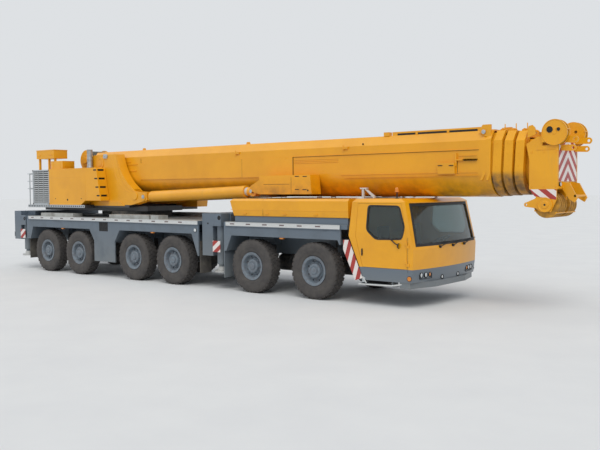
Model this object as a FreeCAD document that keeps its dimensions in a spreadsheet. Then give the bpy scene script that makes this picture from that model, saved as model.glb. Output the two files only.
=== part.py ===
"""Mobile crane: a six-axle all-terrain carrier with a slewing telescopic boom, parked for travel.

Millimetres. +X is forward, +Y the left side, +Z up. The origin is on the ground under the
middle of the travel outline, from the rear of the outrigger box to the tip of the boom head.
"""
import FreeCAD, Part
import math
import os

import Sketcher

Vector = FreeCAD.Vector
Rotation = FreeCAD.Rotation

doc = FreeCAD.newDocument("MobileCrane")
sheet = doc.addObject("Spreadsheet::Sheet", "Sizes")

SIZES = {
    # The carrier's outline
    "half_width": 1500, "rear_end": -9500, "deck_top": 1800, "deck_thick": 100,
    "strip_low": 1680, "strip_back": -8550, "strip_front_back": 720,
    "rear_deck_back": -8690, "rear_deck_front": -330, "front_deck_back": 640,
    "front_deck_front": 4600, "front_skirt_front": 4410, "skirt_thick": 40,
    "skirt_inset": 20, "skirt_low": 475, "skirt_end_low": 1040, "skirt_front_low": 850,
    "skirt_nose_low": 1340, "arch_top": 1450, "liner_thick": 20, "liner_inner": 780,
    "web_inset": 120, "web_thick": 20, "flap_thick": 20, "flap_inner": 1110,
    "flap_low": 330, "flap_high": 1060,
    # The box girder
    "girder_half": 430, "girder_low": 950, "girder_back": -8700, "girder_front": 4560,
    "cradle_low": 470, "cradle_front": 6000, "horn_long": 100,
    # Running gear
    "axle_one": 3600, "axle_two": 1600, "axle_three": -1400, "axle_four": -3100,
    "axle_five": -5800, "axle_six": -7500, "tyre_radius": 685, "tyre_width": 390,
    "tyre_centre": 1290, "tyre_shoulder": 45, "tread_inset": 40, "bead_inset": 45,
    "flank_high": 60, "rim_radius": 345, "rim_wall": 16, "rim_fit": 0.3, "rim_inset": 38,
    "disc_thick": 24, "disc_out": 62, "dish_deep": 30, "hub_radius": 172, "hub_out": 158,
    "hub_round": 14, "hub_in": 40, "hand_hole": 42, "hand_hole_circle": 238,
    "kingpin": 1150, "kingpin_radius": 62, "trunnion_radius": 37, "knuckle_half": 190,
    "yoke_thick": 46, "yoke_radius": 82, "yoke_gap": 5, "yoke_root": 250,
    "yoke_back_half": 75, "yoke_arm_half": 57, "spindle_radius": 118, "axle_tube": 105,
    "gear_case": 225, "gear_half": 190, "strut_radius": 68, "strut_y": 600,
    "hanger_low": 1200, "hanger_half": 130,
    # Outriggers
    "box_long": 800, "front_box_back": -210, "rear_box_low": 1000, "rear_box_high": 1960,
    "front_box_low": 1640, "front_box_high": 2010, "front_panel_low": 880,
    "beam_wide": 300, "beam_high": 280, "beam_spread": 185, "front_beam_low": 1690,
    "rear_beam_low": 1500, "beam_wall": 16, "tunnel_gap": 6, "seat_gap": 0.3,
    "head_wide": 330, "head_in": 1160, "head_out": 1490, "head_drop": 10,
    "head_rise": 38, "box_half": 1150, "panel_out": 1440, "beam_tail": 1405,
    "jack_y": 1290, "jack_tube": 125, "jack_rod": 85, "jack_tube_low": 660,
    "jack_cap": 50, "jack_spare": 260, "pad_low": 450, "pad_high": 500,
    "pad_radius": 200, "socket_radius": 120, "socket_high": 90, "socket_lip": 15,
    # Engine hood behind the cab
    "hood_back": 840, "hood_front": 4600, "hood_half": 1440, "hood_low": 1960,
    "hood_top": 2400, "hood_crease": 2120, "hood_tuck": 14, "hood_shoulder": 50,
    "hood_wall": 30, "hood_slant": 130, "hood_bevel": 60, "band_inset": 25,
    "band_end": 20, "engine_long": 1500, "engine_wide": 800, "engine_low": 1800,
    "engine_high": 2330,
    # Carrier cab
    "cab_half": 1480, "cab_wall": 60, "cab_floor": 620, "cab_low": 580, "cab_sill": 870,
    "cab_waist": 1570, "cab_belt": 1310, "cab_eaves": 2340, "cab_roof": 2410,
    "cab_back_low": 4940, "cab_back_belt": 4750, "cab_back_waist": 4640,
    "cab_back_top": 4730, "cab_back_roof": 4790, "cab_nose_low": 6290,
    "cab_nose_belt": 6350, "cab_nose_top": 6120, "cab_nose_roof": 5980, "cab_bow": 150,
    "cab_eaves_tuck": 30, "cab_roof_tuck": 120, "door_gap": 6, "door_back_gap": 20,
    "door_waist_back": 4830, "door_top_back": 4890, "door_knee": 1500,
    "door_rake": 150, "glass_thick": 8, "glass_deep": 18, "door_front": 6185,
    "door_low": 870, "door_high": 2310, "window_back": 5140, "window_front": 6110,
    "window_low": 1520, "window_high": 2250, "window_corner": 240,
    "window_rake": 135, "screen_low": 1420, "screen_high": 2260, "screen_half": 1340,
    "screen_lean": 60, "hinge_radius": 9.4, "hinge_long": 60, "hinge_out": 10.5,
    "hinge_ahead": 7, "low_hinge": 1000, "high_hinge": 1400,
    # Cab interior, bumper and steps
    "dash_back": 5900, "dash_front": 6180, "dash_knee": 1150, "dash_top": 1330,
    "dash_half": 1250, "seat_y": 700, "seat_back": 5150, "seat_long": 530,
    "seat_low": 1000, "seat_high": 1120, "seat_half": 250, "seat_stem_half": 160,
    "rest_high": 1800, "rest_thick": 130, "wheel_ring": 215, "wheel_bar": 16,
    "wheel_hub_x": 5833, "wheel_hub_z": 1408, "column_radius": 32, "column_long": 300,
    "bumper_low": 450, "bumper_half": 1470, "bumper_nose": 6470, "bumper_mid": 700,
    "bumper_back": 6000, "bumper_end": 6250, "tread_back": 4940, "tread_front": 5850,
    "tread_low": 460, "tread_thick": 30, "tread_inner": 1200, "step_post": 30,
    "post_inset": 40,
    # The boom's rest
    "rest_back": 4500, "rest_long": 90, "rest_half": 860, "rest_top": 2432,
    # Slewing ring and superstructure
    "slew_x": -4450, "ring_radius": 950, "ring_top": 2000, "base_top": 2150,
    "base_back": -8860, "base_front": -3350, "plate_back_half": 900,
    "plate_front_half": 700, "plate_back_in": 400, "house_floor": 2180,
    "house_half": 1300, "platform_thick": 90, "platform_front": -5640,
    "keel_half": 500, "keel_gap": 25, "keel_front_in": 800, "column_in": 650,
    "column_out": 950, "column_back": -6050, "column_shoulder": -5760,
    "column_top": 3750, "column_front": -4470, "column_waist_x": -4290,
    "column_waist_z": 3100, "column_curve": 1500, "column_toe_x": -3620,
    "column_toe_z": 2610, "column_sole": -4000, "slot_half": 110, "slot_back": 480,
    "shelf_back": -4650, "shelf_front": -3400, "shelf_in": 600, "shelf_out": 1400,
    "shelf_gap": 20,
    # Engine houses
    "house_in": 960, "house_top": 3350, "house_back": -7600, "house_front": -5050,
    "house_foot": -4850, "house_step": 2325, "step_back": -5875, "step_front": -5640,
    "house_round": 90, "foothold_low": 2450, "foothold_pitch": 265,
    "foothold_high": 60, "foothold_deep": 70, "foothold_half": 120,
    "grille_back": -8590, "grille_inset": 20, "grille_frame": 55, "grille_deep": 60,
    "slat_pitch": 65, "slat_high": 36, "slat_deep": 40, "left_house_front": -5050,
    "left_house_slope": 120, "stack_x": -5700, "stack_y": 1045, "stack_radius": 85,
    "stack_top": 3930,
    # Winch, upper box and rear rail
    "loft_box_low": 3700, "loft_box_high": 3985, "loft_box_in": 790,
    "loft_box_back": -8290, "loft_box_front": -7290, "loft_leg": 60, "loft_leg_in": 60,
    "lower_box_front": -6900, "lower_box_back": -7560, "lower_box_top": 3610,
    "winch_x": -6820, "winch_z": 3640, "winch_radius": 340, "drum_radius": 280,
    "winch_half": 330, "flange_thick": 40, "cheek_foot": 420, "cheek_top": 150,
    "rail_x": -8820, "rail_half": 1250, "rail_inner": 420, "rail_top": 3220,
    "rail_step": 500, "rail_radius": 20, "rail_post": 18,
    # Crane operator's cab
    "box_cab_in": 1000, "box_cab_out": 1450, "box_cab_back": -4800, "box_cab_front": -2900,
    "box_cab_low": 2100, "box_cab_top": 3880, "box_cab_wall": 36, "box_brow": 600,
    "box_brow_drop": 480, "box_brow_in": 180, "box_chin": 650, "box_chin_in": 100,
    "box_door_thick": 32, "box_door_off": 5, "box_door_back": 550, "box_door_long": 620,
    "box_door_foot": 140, "box_door_head": 180, "box_door_lap": 40, "box_rail_high": 30,
    "box_rail_gap": 5, "box_rail_in": 10, "box_rail_front": 660, "box_window_foot": 660,
    "box_window_edge": 50, "box_pane_side": 50, "box_pane_low": 400, "box_pane_top": 80,
    "box_pane_back": 580, "box_pane_deep": 12, "box_seat_back": 480, "box_seat_long": 440,
    "box_seat_high": 560, "box_seat_thick": 100, "box_seat_half": 170,
    "box_stem_half": 120, "box_rest_thick": 100, "box_rest_high": 1200,
    # Boom pivot and luffing cylinders
    "pivot_x": -5300, "pivot_z": 3500, "pivot_radius": 110, "foot_x": -3230,
    "foot_z": 2440, "eye_x": 1150, "eye_z": 2590, "cylinder_y": 800,
    "barrel_radius": 162, "gland_lip": 4, "gland_long": 160, "barrel_start": 235,
    "barrel_bore_start": 400, "rod_start": 450, "neck_half": 110, "lug_radius": 120,
    "rod_radius": 115, "barrel_end": 300, "rod_end": 100, "foot_pin": 60, "pin_lap": 5,
    "eye_half": 105, "eye_radius": 135, "toe_ahead": 160, "toe_up": 130, "toe_down": 100,
    # Boom
    "boom_half": 600, "boom_low": 2440, "boom_high": 3865, "bevel_y": 150, "bevel_z": 210,
    "boom_wall": 14, "nest_gap": 40, "boom_rear": -6100, "rear_cut_long": 420,
    "rear_cut_high": 510, "boom_front": 7735, "collar_long": 185, "collar_gap": 55,
    "collar_slant": 70, "base_slant": 42, "base_collar_long": 130, "base_collar_rise": 18,
    "base_collar_wall": 33, "nest_step": 160, "first_nest": -4600, "pad_wide": 240,
    "pad_long": 180, "pad_inset": 100, "plate_back": -3740, "plate_front": 2280,
    "plate_low": 2960, "plate_high": 3460, "plate_thick": 15, "bracket_high": 2990,
    "bracket_low": 2510, "bracket_behind": 10, "bracket_start": 300,
    "bracket_front": 3130, "cheek_lean": 50, "cheek_rise": 530, "cheek_drop": 300,
    "cheek_gap": 6, "bracket_out": 980,
    "top_rail_back": 5180, "top_rail_front": 7400, "top_rail_y": 410,
    "top_rail_wide": 40, "top_rail_high": 85, "roller_lug_back": 315,
    "roller_lug_front": 40, "roller_lug_in": 90, "roller_lug_thick": 50,
    "roller_lug_low": 130, "roller_lug_high": 120, "roller_back": 190,
    "roller_drop": 35, "roller_radius": 38,
    # Boom head
    "head_gap": 90, "head_long": 595, "tip_long": 360, "head_half": 560,
    "head_low": 2600, "head_high": 3670, "head_neck": 65, "head_neck_low": 610,
    "head_neck_high": 930, "head_slope": 170, "head_wall": 60, "top_axle_in": 60,
    "top_axle_z": 3745, "sheave_radius": 245, "disc_radius": 262, "disc_wide": 28,
    "disc_outer": 604, "disc_inner": 440, "disc_skirt": 110, "disc_skirt_drop": 195,
    "disc_hole": 56, "disc_small_hole": 34, "disc_hole_back": 120,
    "disc_hole_ahead": 62, "disc_hole_up": 50, "axle_radius": 40, "axle_lip": 8,
    "low_axle_in": 250, "low_axle_z": 2285, "low_sheave_radius": 272,
    "low_disc_radius": 150, "low_disc_wide": 28, "cheek_thick": 30, "cheek_low": 2200,
    "sheave_wide": 70, "sheave_first": 90, "sheave_pitch": 110, "groove_deep": 30,
    "sheave_lip": 12, "bore_gap": 0.3, "lug_y": 380, "hook_y": 260,
    "hook_thick": 40, "hook_high": 2750, "hook_tip": 2330,
}
for row, (alias, number) in enumerate(SIZES.items(), 1):
    sheet.set(f"A{row}", alias)
    sheet.set(f"B{row}", str(number))
    sheet.setAlias(f"B{row}", alias)
doc.recompute()


class Size:
    """A length: the expression that reads it from the sheet, and its present number."""

    def __init__(self, text, number):
        self.text = text
        self.number = number

    def joined(self, sign, other, number):
        return Size(f"({self.text} {sign} {other.text})", number)

    def __add__(self, other):
        other = as_size(other)
        return self.joined("+", other, self.number + other.number)

    def __sub__(self, other):
        other = as_size(other)
        return self.joined("-", other, self.number - other.number)

    def __mul__(self, other):
        other = as_size(other)
        return self.joined("*", other, self.number * other.number)

    def __truediv__(self, other):
        other = as_size(other)
        return self.joined("/", other, self.number / other.number)

    def __radd__(self, other):
        return as_size(other) + self

    def __rsub__(self, other):
        return as_size(other) - self

    def __rmul__(self, other):
        return as_size(other) * self

    def __neg__(self):
        return as_size(0) - self


def as_size(thing):
    """A plain number becomes a Size; a Size stays as it is."""
    if isinstance(thing, Size):
        return thing
    return Size(f"({float(thing)})", float(thing))


class Sheet:
    """The sheet's sizes, read by name."""

    def __getattr__(self, alias):
        return Size("Sizes." + alias, float(SIZES[alias]))


size = Sheet()
TURNS = {"x": Rotation(Vector(0, 1, 0), 90), "y": Rotation(Vector(1, 0, 0), -90),
         "z": Rotation()}
PLANES = {"xy": "XY_Plane", "xz": "XZ_Plane", "yz": "YZ_Plane"}
nodes = []


def bind(thing, name, length):
    thing.setExpression(name, as_size(length).text)


def place(thing, x=0, y=0, z=0):
    for letter, spot in zip("xyz", (x, y, z)):
        bind(thing, "Placement.Base." + letter, spot)


def box(name, x, y, z):
    """A block between two corners; x, y and z are each a low and a high end."""
    block = doc.addObject("Part::Box", name)
    for side, (low, high) in zip(("Length", "Width", "Height"), (x, y, z)):
        bind(block, side, as_size(high) - low)
    place(block, x[0], y[0], z[0])
    return block


def rod(name, axis, along, centre, radius):
    """A cylinder along an axis, from one end to the other, with its centre in that plane."""
    round_bar = doc.addObject("Part::Cylinder", name)
    round_bar.Placement = FreeCAD.Placement(Vector(), TURNS[axis])
    bind(round_bar, "Radius", radius)
    bind(round_bar, "Height", as_size(along[1]) - along[0])
    spots = dict(zip([letter for letter in "xyz" if letter != axis], centre))
    spots[axis] = along[0]
    place(round_bar, spots["x"], spots["y"], spots["z"])
    return round_bar


def sketch_on(body, name, plane, level):
    """A sketch on one of the body's own origin planes, moved out to a level."""
    sketch = body.newObject("Sketcher::SketchObject", name)
    origin = [face for face in body.Origin.OriginFeatures if face.Role == PLANES[plane]]
    sketch.AttachmentSupport = [(origin[0], "")]
    sketch.MapMode = "FlatFace"
    level = as_size(level)
    bind(sketch, "AttachmentOffset.Base.z", -level if plane == "xz" else level)
    return sketch


def pin_point(sketch, line, end, u, v):
    """Dimensions one end of an edge from the sketch's origin."""
    for kind, length in (("DistanceX", u), ("DistanceY", v)):
        length = as_size(length)
        number = sketch.addConstraint(
            Sketcher.Constraint(kind, -1, 1, line, end, length.number))
        sketch.setExpression(f"Constraints[{number}]", length.text)


def draw_outline(sketch, outline):
    """A closed outline of straight lines through the points, each one dimensioned."""
    first = sketch.GeometryCount
    spots = [Vector(as_size(u).number, as_size(v).number, 0) for u, v in outline]
    for spot, following in zip(spots, spots[1:] + spots[:1]):
        sketch.addGeometry(Part.LineSegment(spot, following), False)
    for step, (u, v) in enumerate(outline):
        line = first + step
        following = first + (step + 1) % len(outline)
        sketch.addConstraint(Sketcher.Constraint("Coincident", line, 2, following, 1))
        pin_point(sketch, line, 1, u, v)


def corner_edges(shape, plane, corners):
    """The names of the padded edges that stand on these corners of the outline."""
    names = []
    for number, edge in enumerate(shape.Edges, 1):
        ends = [vertex.Point for vertex in edge.Vertexes]
        for u, v in corners:
            near = [abs(getattr(end, plane[0]) - as_size(u).number) < 0.01
                    and abs(getattr(end, plane[1]) - as_size(v).number) < 0.01
                    for end in ends]
            if len(ends) == 2 and all(near):
                names.append(f"Edge{number}")
    return names


def prism(name, plane, outline, low, high, rounds=()):
    """A padded outline; rounds pairs the outline's corner numbers with a fillet radius."""
    body = doc.addObject("PartDesign::Body", name)
    sketch = sketch_on(body, name + "_outline", plane, low)
    draw_outline(sketch, outline)
    pad = body.newObject("PartDesign::Pad", name + "_pad")
    pad.Profile = sketch
    pad.Reversed = plane == "xz"
    bind(pad, "Length", as_size(high) - low)
    last = pad
    for corners, radius in rounds:
        doc.recompute()
        fillet = body.newObject("PartDesign::Fillet", name + "_round")
        spots = [outline[corner] for corner in corners]
        fillet.Base = (last, corner_edges(last.Shape, plane, spots))
        bind(fillet, "Radius", radius)
        last = fillet
    body.Tip = last
    return body


def fuse(name, *things):
    whole = doc.addObject("Part::MultiFuse", name)
    whole.Shapes = list(things)
    return whole


def cut(name, base, *tools):
    rest = doc.addObject("Part::Cut", name)
    rest.Base = base
    rest.Tool = tools[0] if len(tools) == 1 else fuse(name + "_tools", *tools)
    return rest


def common(name, first, second):
    shared = doc.addObject("Part::MultiCommon", name)
    shared.Shapes = [first, second]
    return shared


def group(name, *things):
    """Like pieces on one body that don't touch."""
    pieces = doc.addObject("Part::Compound", name)
    pieces.Links = list(things)
    return pieces


def mirrored(name, thing):
    """The same piece on the machine's other side."""
    twin = doc.addObject("Part::Mirroring", name)
    twin.Source = thing
    twin.Normal = Vector(0, 1, 0)
    return twin


def node(label, thing):
    """Names a finished sub-part; its file gets the same name."""
    thing.Label = label
    nodes.append(thing)
    return thing


AXLES = [("one", size.axle_one), ("two", size.axle_two), ("three", size.axle_three),
         ("four", size.axle_four), ("five", size.axle_five), ("six", size.axle_six)]
STEERED = ("one", "two", "three", "five", "six")
SIDES = (("right", -1), ("left", 1))
# Outriggers: name, rear face of the box, underside of the beam, top of the box,
# underside of the box and of its end panels
OUTRIGGERS = [("front", size.front_box_back, size.front_beam_low, size.front_box_high,
               size.front_box_low, size.front_panel_low),
              ("rear", size.rear_end, size.rear_beam_low, size.rear_box_high,
               size.rear_box_low, size.rear_box_low)]
gap = size.seat_gap
# How far a fused piece runs into its neighbour, and a cutter past the face it opens
lap = as_size(1)


def beam_x(box_back, sign):
    """The middle of an outrigger beam: the right one lies ahead of the left one."""
    return box_back + size.box_long / 2 - sign * size.beam_spread


def build_chassis_frame():
    """The box girder with its axle hangers and both outrigger boxes."""
    half = size.girder_half
    under = size.deck_top - size.deck_thick
    pieces = [box("girder", (size.girder_back, size.girder_front), (-half, half),
                  (size.girder_low, under))]
    for word, x in AXLES:
        reach = size.strut_y + size.hanger_half
        pieces.append(box(f"hanger_{word}", (x - size.hanger_half, x + size.hanger_half),
                          (-reach, reach), (size.hanger_low, size.arch_top - size.liner_thick)))
    tunnels = []
    for word, back, low, high, floor, skirt in OUTRIGGERS:
        pieces.append(box(f"{word}_box", (back, back + size.box_long),
                          (-size.box_half, size.box_half), (floor, high)))
        for side, sign in SIDES:
            near = back if sign < 0 else back + size.box_long / 2
            ends = (-size.panel_out, -half) if sign < 0 else (half, size.panel_out)
            pieces.append(box(f"{word}_panel_{side}", (near, near + size.box_long / 2), ends,
                              (skirt, high)))
            middle = beam_x(back, sign)
            reach = size.beam_wide / 2 + size.tunnel_gap
            tail = size.beam_tail + size.tunnel_gap
            ends = (-size.half_width, tail) if sign < 0 else (-tail, size.half_width)
            tunnels.append(box(f"tunnel_{word}_{side}", (middle - reach, middle + reach), ends,
                               (low - gap, low + size.beam_high + size.tunnel_gap)))
    pieces.append(box("cab_horn", (size.girder_front - size.horn_long, size.girder_front),
                      (-half, half), (size.cradle_low, under)))
    pieces.append(box("cab_cradle", (size.girder_front - lap, size.cradle_front),
                      (-half, half), (size.cradle_low, size.cab_low)))
    return node("chassis_frame", cut("chassis", fuse("chassis_whole", *pieces), *tunnels))


# Wheel arches: name, rear and front axle, how far the flat top runs past each of them,
# how much further each foot leans out, and the level of each foot
ARCHES = [
    ("rear", size.axle_six, size.axle_five, 820, 600, 160, 240, 1040, 1100),
    ("middle", size.axle_four, size.axle_three, 620, 800, 230, 240, 1100, 850),
    ("front", size.axle_two, size.axle_one, 690, 720, 190, 60, 1040, 1340),
]


def arch_outline(rear_axle, front_axle, past_rear, past_front, lean_rear, lean_front,
                 rear_foot, front_foot):
    """An arch from its rear foot up, along the flat top and down to its front foot."""
    back, front = rear_axle - past_rear, front_axle + past_front
    return [(back - lean_rear, as_size(rear_foot)), (back, size.arch_top),
            (front, size.arch_top), (front + lean_front, as_size(front_foot))]


def build_deck():
    """The deck with its edge strips, the side skirts with their arches, and the liners."""
    top = size.deck_top
    under = top - size.deck_thick
    edge = size.half_width
    face = edge - size.skirt_inset
    inner = face - size.skirt_thick
    arches = {word: arch_outline(*columns) for word, *columns in ARCHES}
    rear_skirt = [(size.rear_deck_back, under), (size.rear_deck_back, size.skirt_end_low)] + \
        arches["rear"] + \
        [(arches["rear"][3][0], size.skirt_low), (arches["middle"][0][0], size.skirt_low)] + \
        arches["middle"] + \
        [(size.rear_deck_front, size.skirt_front_low), (size.rear_deck_front, under)]
    front_skirt = [(size.front_deck_back, under),
                   (size.front_deck_back, size.skirt_end_low)] + arches["front"] + \
        [(size.front_skirt_front, size.skirt_nose_low), (size.front_skirt_front, under)]
    pieces = [box("deck_rear", (size.rear_deck_back, size.rear_deck_front), (-face, face),
                  (under, top)),
              box("deck_front", (size.front_deck_back, size.front_deck_front), (-face, face),
                  (under, top))]
    sides = [prism("rear_skirt", "xz", rear_skirt, inner, face),
             prism("front_skirt", "xz", front_skirt, inner, face),
             box("rear_strip", (size.strip_back, size.rear_deck_front), (face - lap, edge),
                 (size.strip_low, top)),
             box("front_strip", (size.strip_front_back, size.front_skirt_front),
                 (face - lap, edge), (size.strip_low, top)),
             box("mudflap", (size.front_deck_back, size.front_deck_back + size.flap_thick),
                 (size.flap_inner, face), (size.flap_low, size.flap_high))]
    for word, arch in arches.items():
        raised = [(x, z + size.liner_thick) for x, z in reversed(arch)]
        sides.append(prism(f"liner_{word}", "xz", arch + raised, size.liner_inner, inner + lap))
        for end, x in (("rear", arch[1][0] + size.web_inset),
                       ("front", arch[2][0] - size.web_inset)):
            sides.append(box(f"liner_web_{word}_{end}",
                             (x - size.web_thick / 2, x + size.web_thick / 2),
                             (size.liner_inner, inner + lap),
                             (size.arch_top + size.liner_thick / 2, under + lap)))
    side = fuse("deck_side", *sides)
    whole = fuse("deck_all", *pieces, side, mirrored("deck_side_twin", side))
    return node("deck_and_fenders", whole)


def build_axles():
    """Six axle housings, each with its gear case, end yokes and suspension struts."""
    z = size.tyre_radius
    out = size.kingpin
    root = out - size.yoke_root
    reach = size.knuckle_half + size.yoke_thick
    housings = []
    for word, x in AXLES:
        pieces = [rod(f"axle_tube_{word}", "y", (-root - size.yoke_thick, root + size.yoke_thick),
                      (x, z), size.axle_tube),
                  rod(f"gear_case_{word}", "x", (x - size.gear_half, x + size.gear_half), (0, z),
                      size.gear_case)]
        side = [box(f"yoke_back_{word}", (x - size.yoke_back_half, x + size.yoke_back_half),
                    (root, out - size.knuckle_half), (z - reach, z + reach)),
                rod(f"strut_{word}", "z", (z, size.hanger_low), (x, size.strut_y),
                    size.strut_radius)]
        near = size.knuckle_half + size.yoke_gap
        far = near + size.yoke_thick
        for level, ends in (("upper", (z + near, z + far)), ("lower", (z - far, z - near))):
            side.append(rod(f"yoke_{level}_{word}", "z", ends, (x, out), size.yoke_radius))
            side.append(box(f"yoke_arm_{level}_{word}",
                            (x - size.yoke_arm_half, x + size.yoke_arm_half), (root, out),
                            ends))
        if word not in STEERED:
            side.append(rod(f"spindle_{word}", "y", (root, size.tyre_centre - size.hub_in - gap),
                            (x, z), size.spindle_radius))
        half = fuse(f"axle_end_{word}", *side)
        housings.append(fuse(f"axle_{word}", *pieces, half,
                             mirrored(f"axle_end_twin_{word}", half)))
    return node("axle_housings", group("axles", *housings))


def build_knuckle(side, sign, word, x):
    """A steering knuckle: the kingpin barrel and the flange that the hub turns on."""
    z = size.tyre_radius
    seat = size.tyre_centre - size.hub_in - gap
    ends = (size.kingpin, seat) if sign > 0 else (-seat, -size.kingpin)
    tip = size.knuckle_half + size.yoke_gap - gap
    pin_spot = (x, sign * size.kingpin)
    barrel = rod(f"kingpin_{side}_{word}", "z",
                 (z - size.knuckle_half, z + size.knuckle_half), pin_spot,
                 size.kingpin_radius)
    trunnion = rod(f"trunnion_{side}_{word}", "z", (z - tip, z + tip), pin_spot,
                   size.trunnion_radius)
    flange = rod(f"spindle_{side}_{word}", "y", ends, (x, z), size.spindle_radius)
    return node(f"knuckle_{side}_{word}",
                fuse(f"knuckle_body_{side}_{word}", barrel, flange, trunnion))


def turned(name, outline):
    """A Body turned about the Y axis from an outline of (y, radius) corners."""
    body = doc.addObject("PartDesign::Body", name)
    sketch = sketch_on(body, name + "_outline", "yz", 0)
    draw_outline(sketch, outline)
    spin = body.newObject("PartDesign::Revolution", name + "_turn")
    spin.Profile = sketch
    spin.ReferenceAxis = (sketch, ["H_Axis"])
    spin.Angle = 360
    body.Tip = spin
    return body


def build_wheel_masters():
    """One tyre and one rim about the Y axis; the outer face looks along +Y."""
    half = size.tyre_width / 2
    bead = size.rim_radius + size.rim_fit
    flank = bead + size.flank_high
    shoulder = size.tyre_radius - size.tyre_shoulder
    tread = half - size.tread_inset
    foot = half - size.bead_inset
    tyre = turned("tyre_master", [
        (-foot, bead), (-half, flank), (-half, shoulder), (-tread, size.tyre_radius),
        (tread, size.tyre_radius), (half, shoulder), (half, flank), (foot, bead)])
    rim_in = size.rim_radius - size.rim_wall
    edge = half - size.rim_inset
    dish = size.disc_out - size.disc_thick
    barrel = turned("rim_master", [
        (-edge, rim_in), (-edge, size.rim_radius), (edge, size.rim_radius), (edge, rim_in),
        (size.disc_out, rim_in), (size.disc_out, size.hub_radius),
        (size.hub_out, size.hub_radius - size.hub_round), (size.hub_out, as_size(0)),
        (-size.hub_in, as_size(0)), (-size.hub_in, size.spindle_radius),
        (dish - size.dish_deep, size.hub_radius), (dish, size.hub_radius + size.disc_thick),
        (dish, rim_in)])
    holes = []
    count = 8
    for step in range(count):
        angle = math.tau * (step + 0.5) / count
        holes.append(rod(f"hand_hole_{step}", "y", (0, size.hub_out),
                         (size.hand_hole_circle * math.cos(angle),
                          size.hand_hole_circle * math.sin(angle)), size.hand_hole))
    return tyre, cut("rim_drilled", barrel, *holes)


def build_wheel(side, sign, word, x, masters):
    wheel = group(f"wheel_copy_{side}_{word}", *masters)
    turn = Rotation() if sign > 0 else Rotation(Vector(0, 0, 1), 180)
    wheel.Placement = FreeCAD.Placement(Vector(), turn)
    place(wheel, x, sign * size.tyre_centre, size.tyre_radius)
    return node(f"wheel_{side}_{word}", wheel)


def build_outriggers():
    """Each beam slides out of its box with a jack at its end; the jack's foot goes down."""
    for word, back, low, high, floor, skirt in OUTRIGGERS:
        for side, sign in SIDES:
            name = f"{word}_{side}"
            x = beam_x(back, sign)
            spot = (x, size.jack_y)
            half = size.beam_wide / 2
            hollow_half = half - size.beam_wall
            head_half = size.head_wide / 2
            head_high = low + size.beam_high + size.head_rise
            tube_high = head_high - size.head_drop
            beam = box(f"beam_bar_{name}", (x - half, x + half),
                       (-size.beam_tail, size.head_in + size.beam_wall),
                       (low, low + size.beam_high))
            hollow = box(f"beam_hollow_{name}", (x - hollow_half, x + hollow_half),
                         (-size.beam_tail - lap, size.head_in),
                         (low + size.beam_wall, low + size.beam_high - size.beam_wall))
            head = box(f"beam_head_{name}", (x - head_half, x + head_half),
                       (size.head_in, size.head_out), (low - size.head_drop, head_high))
            tube = rod(f"jack_tube_{name}", "z", (size.jack_tube_low, tube_high), spot,
                       size.jack_tube)
            bore = rod(f"jack_bore_{name}", "z",
                       (size.jack_tube_low - lap, tube_high - size.jack_cap), spot,
                       size.jack_rod + gap)
            beam = cut(f"beam_{name}", fuse(f"beam_whole_{name}", beam, head, tube),
                       hollow, bore)
            stem = rod(f"jack_rod_{name}", "z", (size.pad_high, tube_high - size.jack_spare),
                       spot, size.jack_rod)
            foot = rod(f"jack_pad_{name}", "z", (size.pad_low, size.pad_high), spot,
                       size.pad_radius)
            cone = doc.addObject("Part::Cone", f"jack_socket_{name}")
            bind(cone, "Radius1", size.socket_radius)
            bind(cone, "Radius2", size.jack_rod + size.socket_lip)
            bind(cone, "Height", size.socket_high)
            place(cone, x, size.jack_y, size.pad_high)
            jack = fuse(f"jack_{name}", stem, foot, cone)
            if sign < 0:
                beam = mirrored(f"beam_right_{name}", beam)
                jack = mirrored(f"jack_right_{name}", jack)
            node(f"outrigger_beam_{name}", beam)
            node(f"outrigger_jack_{name}", jack)


def build_hood():
    """The engine hood: creased sides and a slanted rear end, on a band set in below."""
    back, front, half, wall = size.hood_back, size.hood_front, size.hood_half, size.hood_wall
    low, top = size.hood_low, size.hood_top
    shoulder = size.hood_shoulder
    section = [(size.hood_tuck - half, low), (half - size.hood_tuck, low),
               (half, size.hood_crease), (half, top - shoulder), (half - shoulder, top),
               (shoulder - half, top), (-half, top - shoulder), (-half, size.hood_crease)]
    outer = prism("hood_outer", "yz", section, back, front)
    slant = prism("hood_rear_cut", "xz",
                  [(back - lap, low - lap), (back + size.hood_slant, low - lap),
                   (back, top - size.hood_bevel), (back + size.hood_bevel, top + lap),
                   (back - lap, top + lap)], -half - lap, half + lap)
    deep = half - size.hood_tuck - wall
    inner = box("hood_inner", (back + size.hood_slant + wall, front - wall), (-deep, deep),
                (low - lap, top - wall - shoulder / 2))
    shell = cut("hood_shell", outer, slant, inner)
    side = half - size.band_inset
    ends = (back + size.hood_slant + size.band_end, front - size.band_end)
    band_outer = box("band_outer", ends, (-side, side), (size.deck_top, low + lap))
    band_inner = box("band_inner", (ends[0] + wall, ends[1] - wall),
                     (wall - side, side - wall), (size.deck_top - lap, low + lap * 2))
    node("engine_hood", fuse("hood", shell, cut("band", band_outer, band_inner)))
    middle = (back + front) / 2
    half_long, half_wide = size.engine_long / 2, size.engine_wide / 2
    engine = box("engine_block", (middle - half_long, middle + half_long),
                 (-half_wide, half_wide), (size.engine_low, size.engine_high))
    node("carrier_engine", engine)


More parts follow.
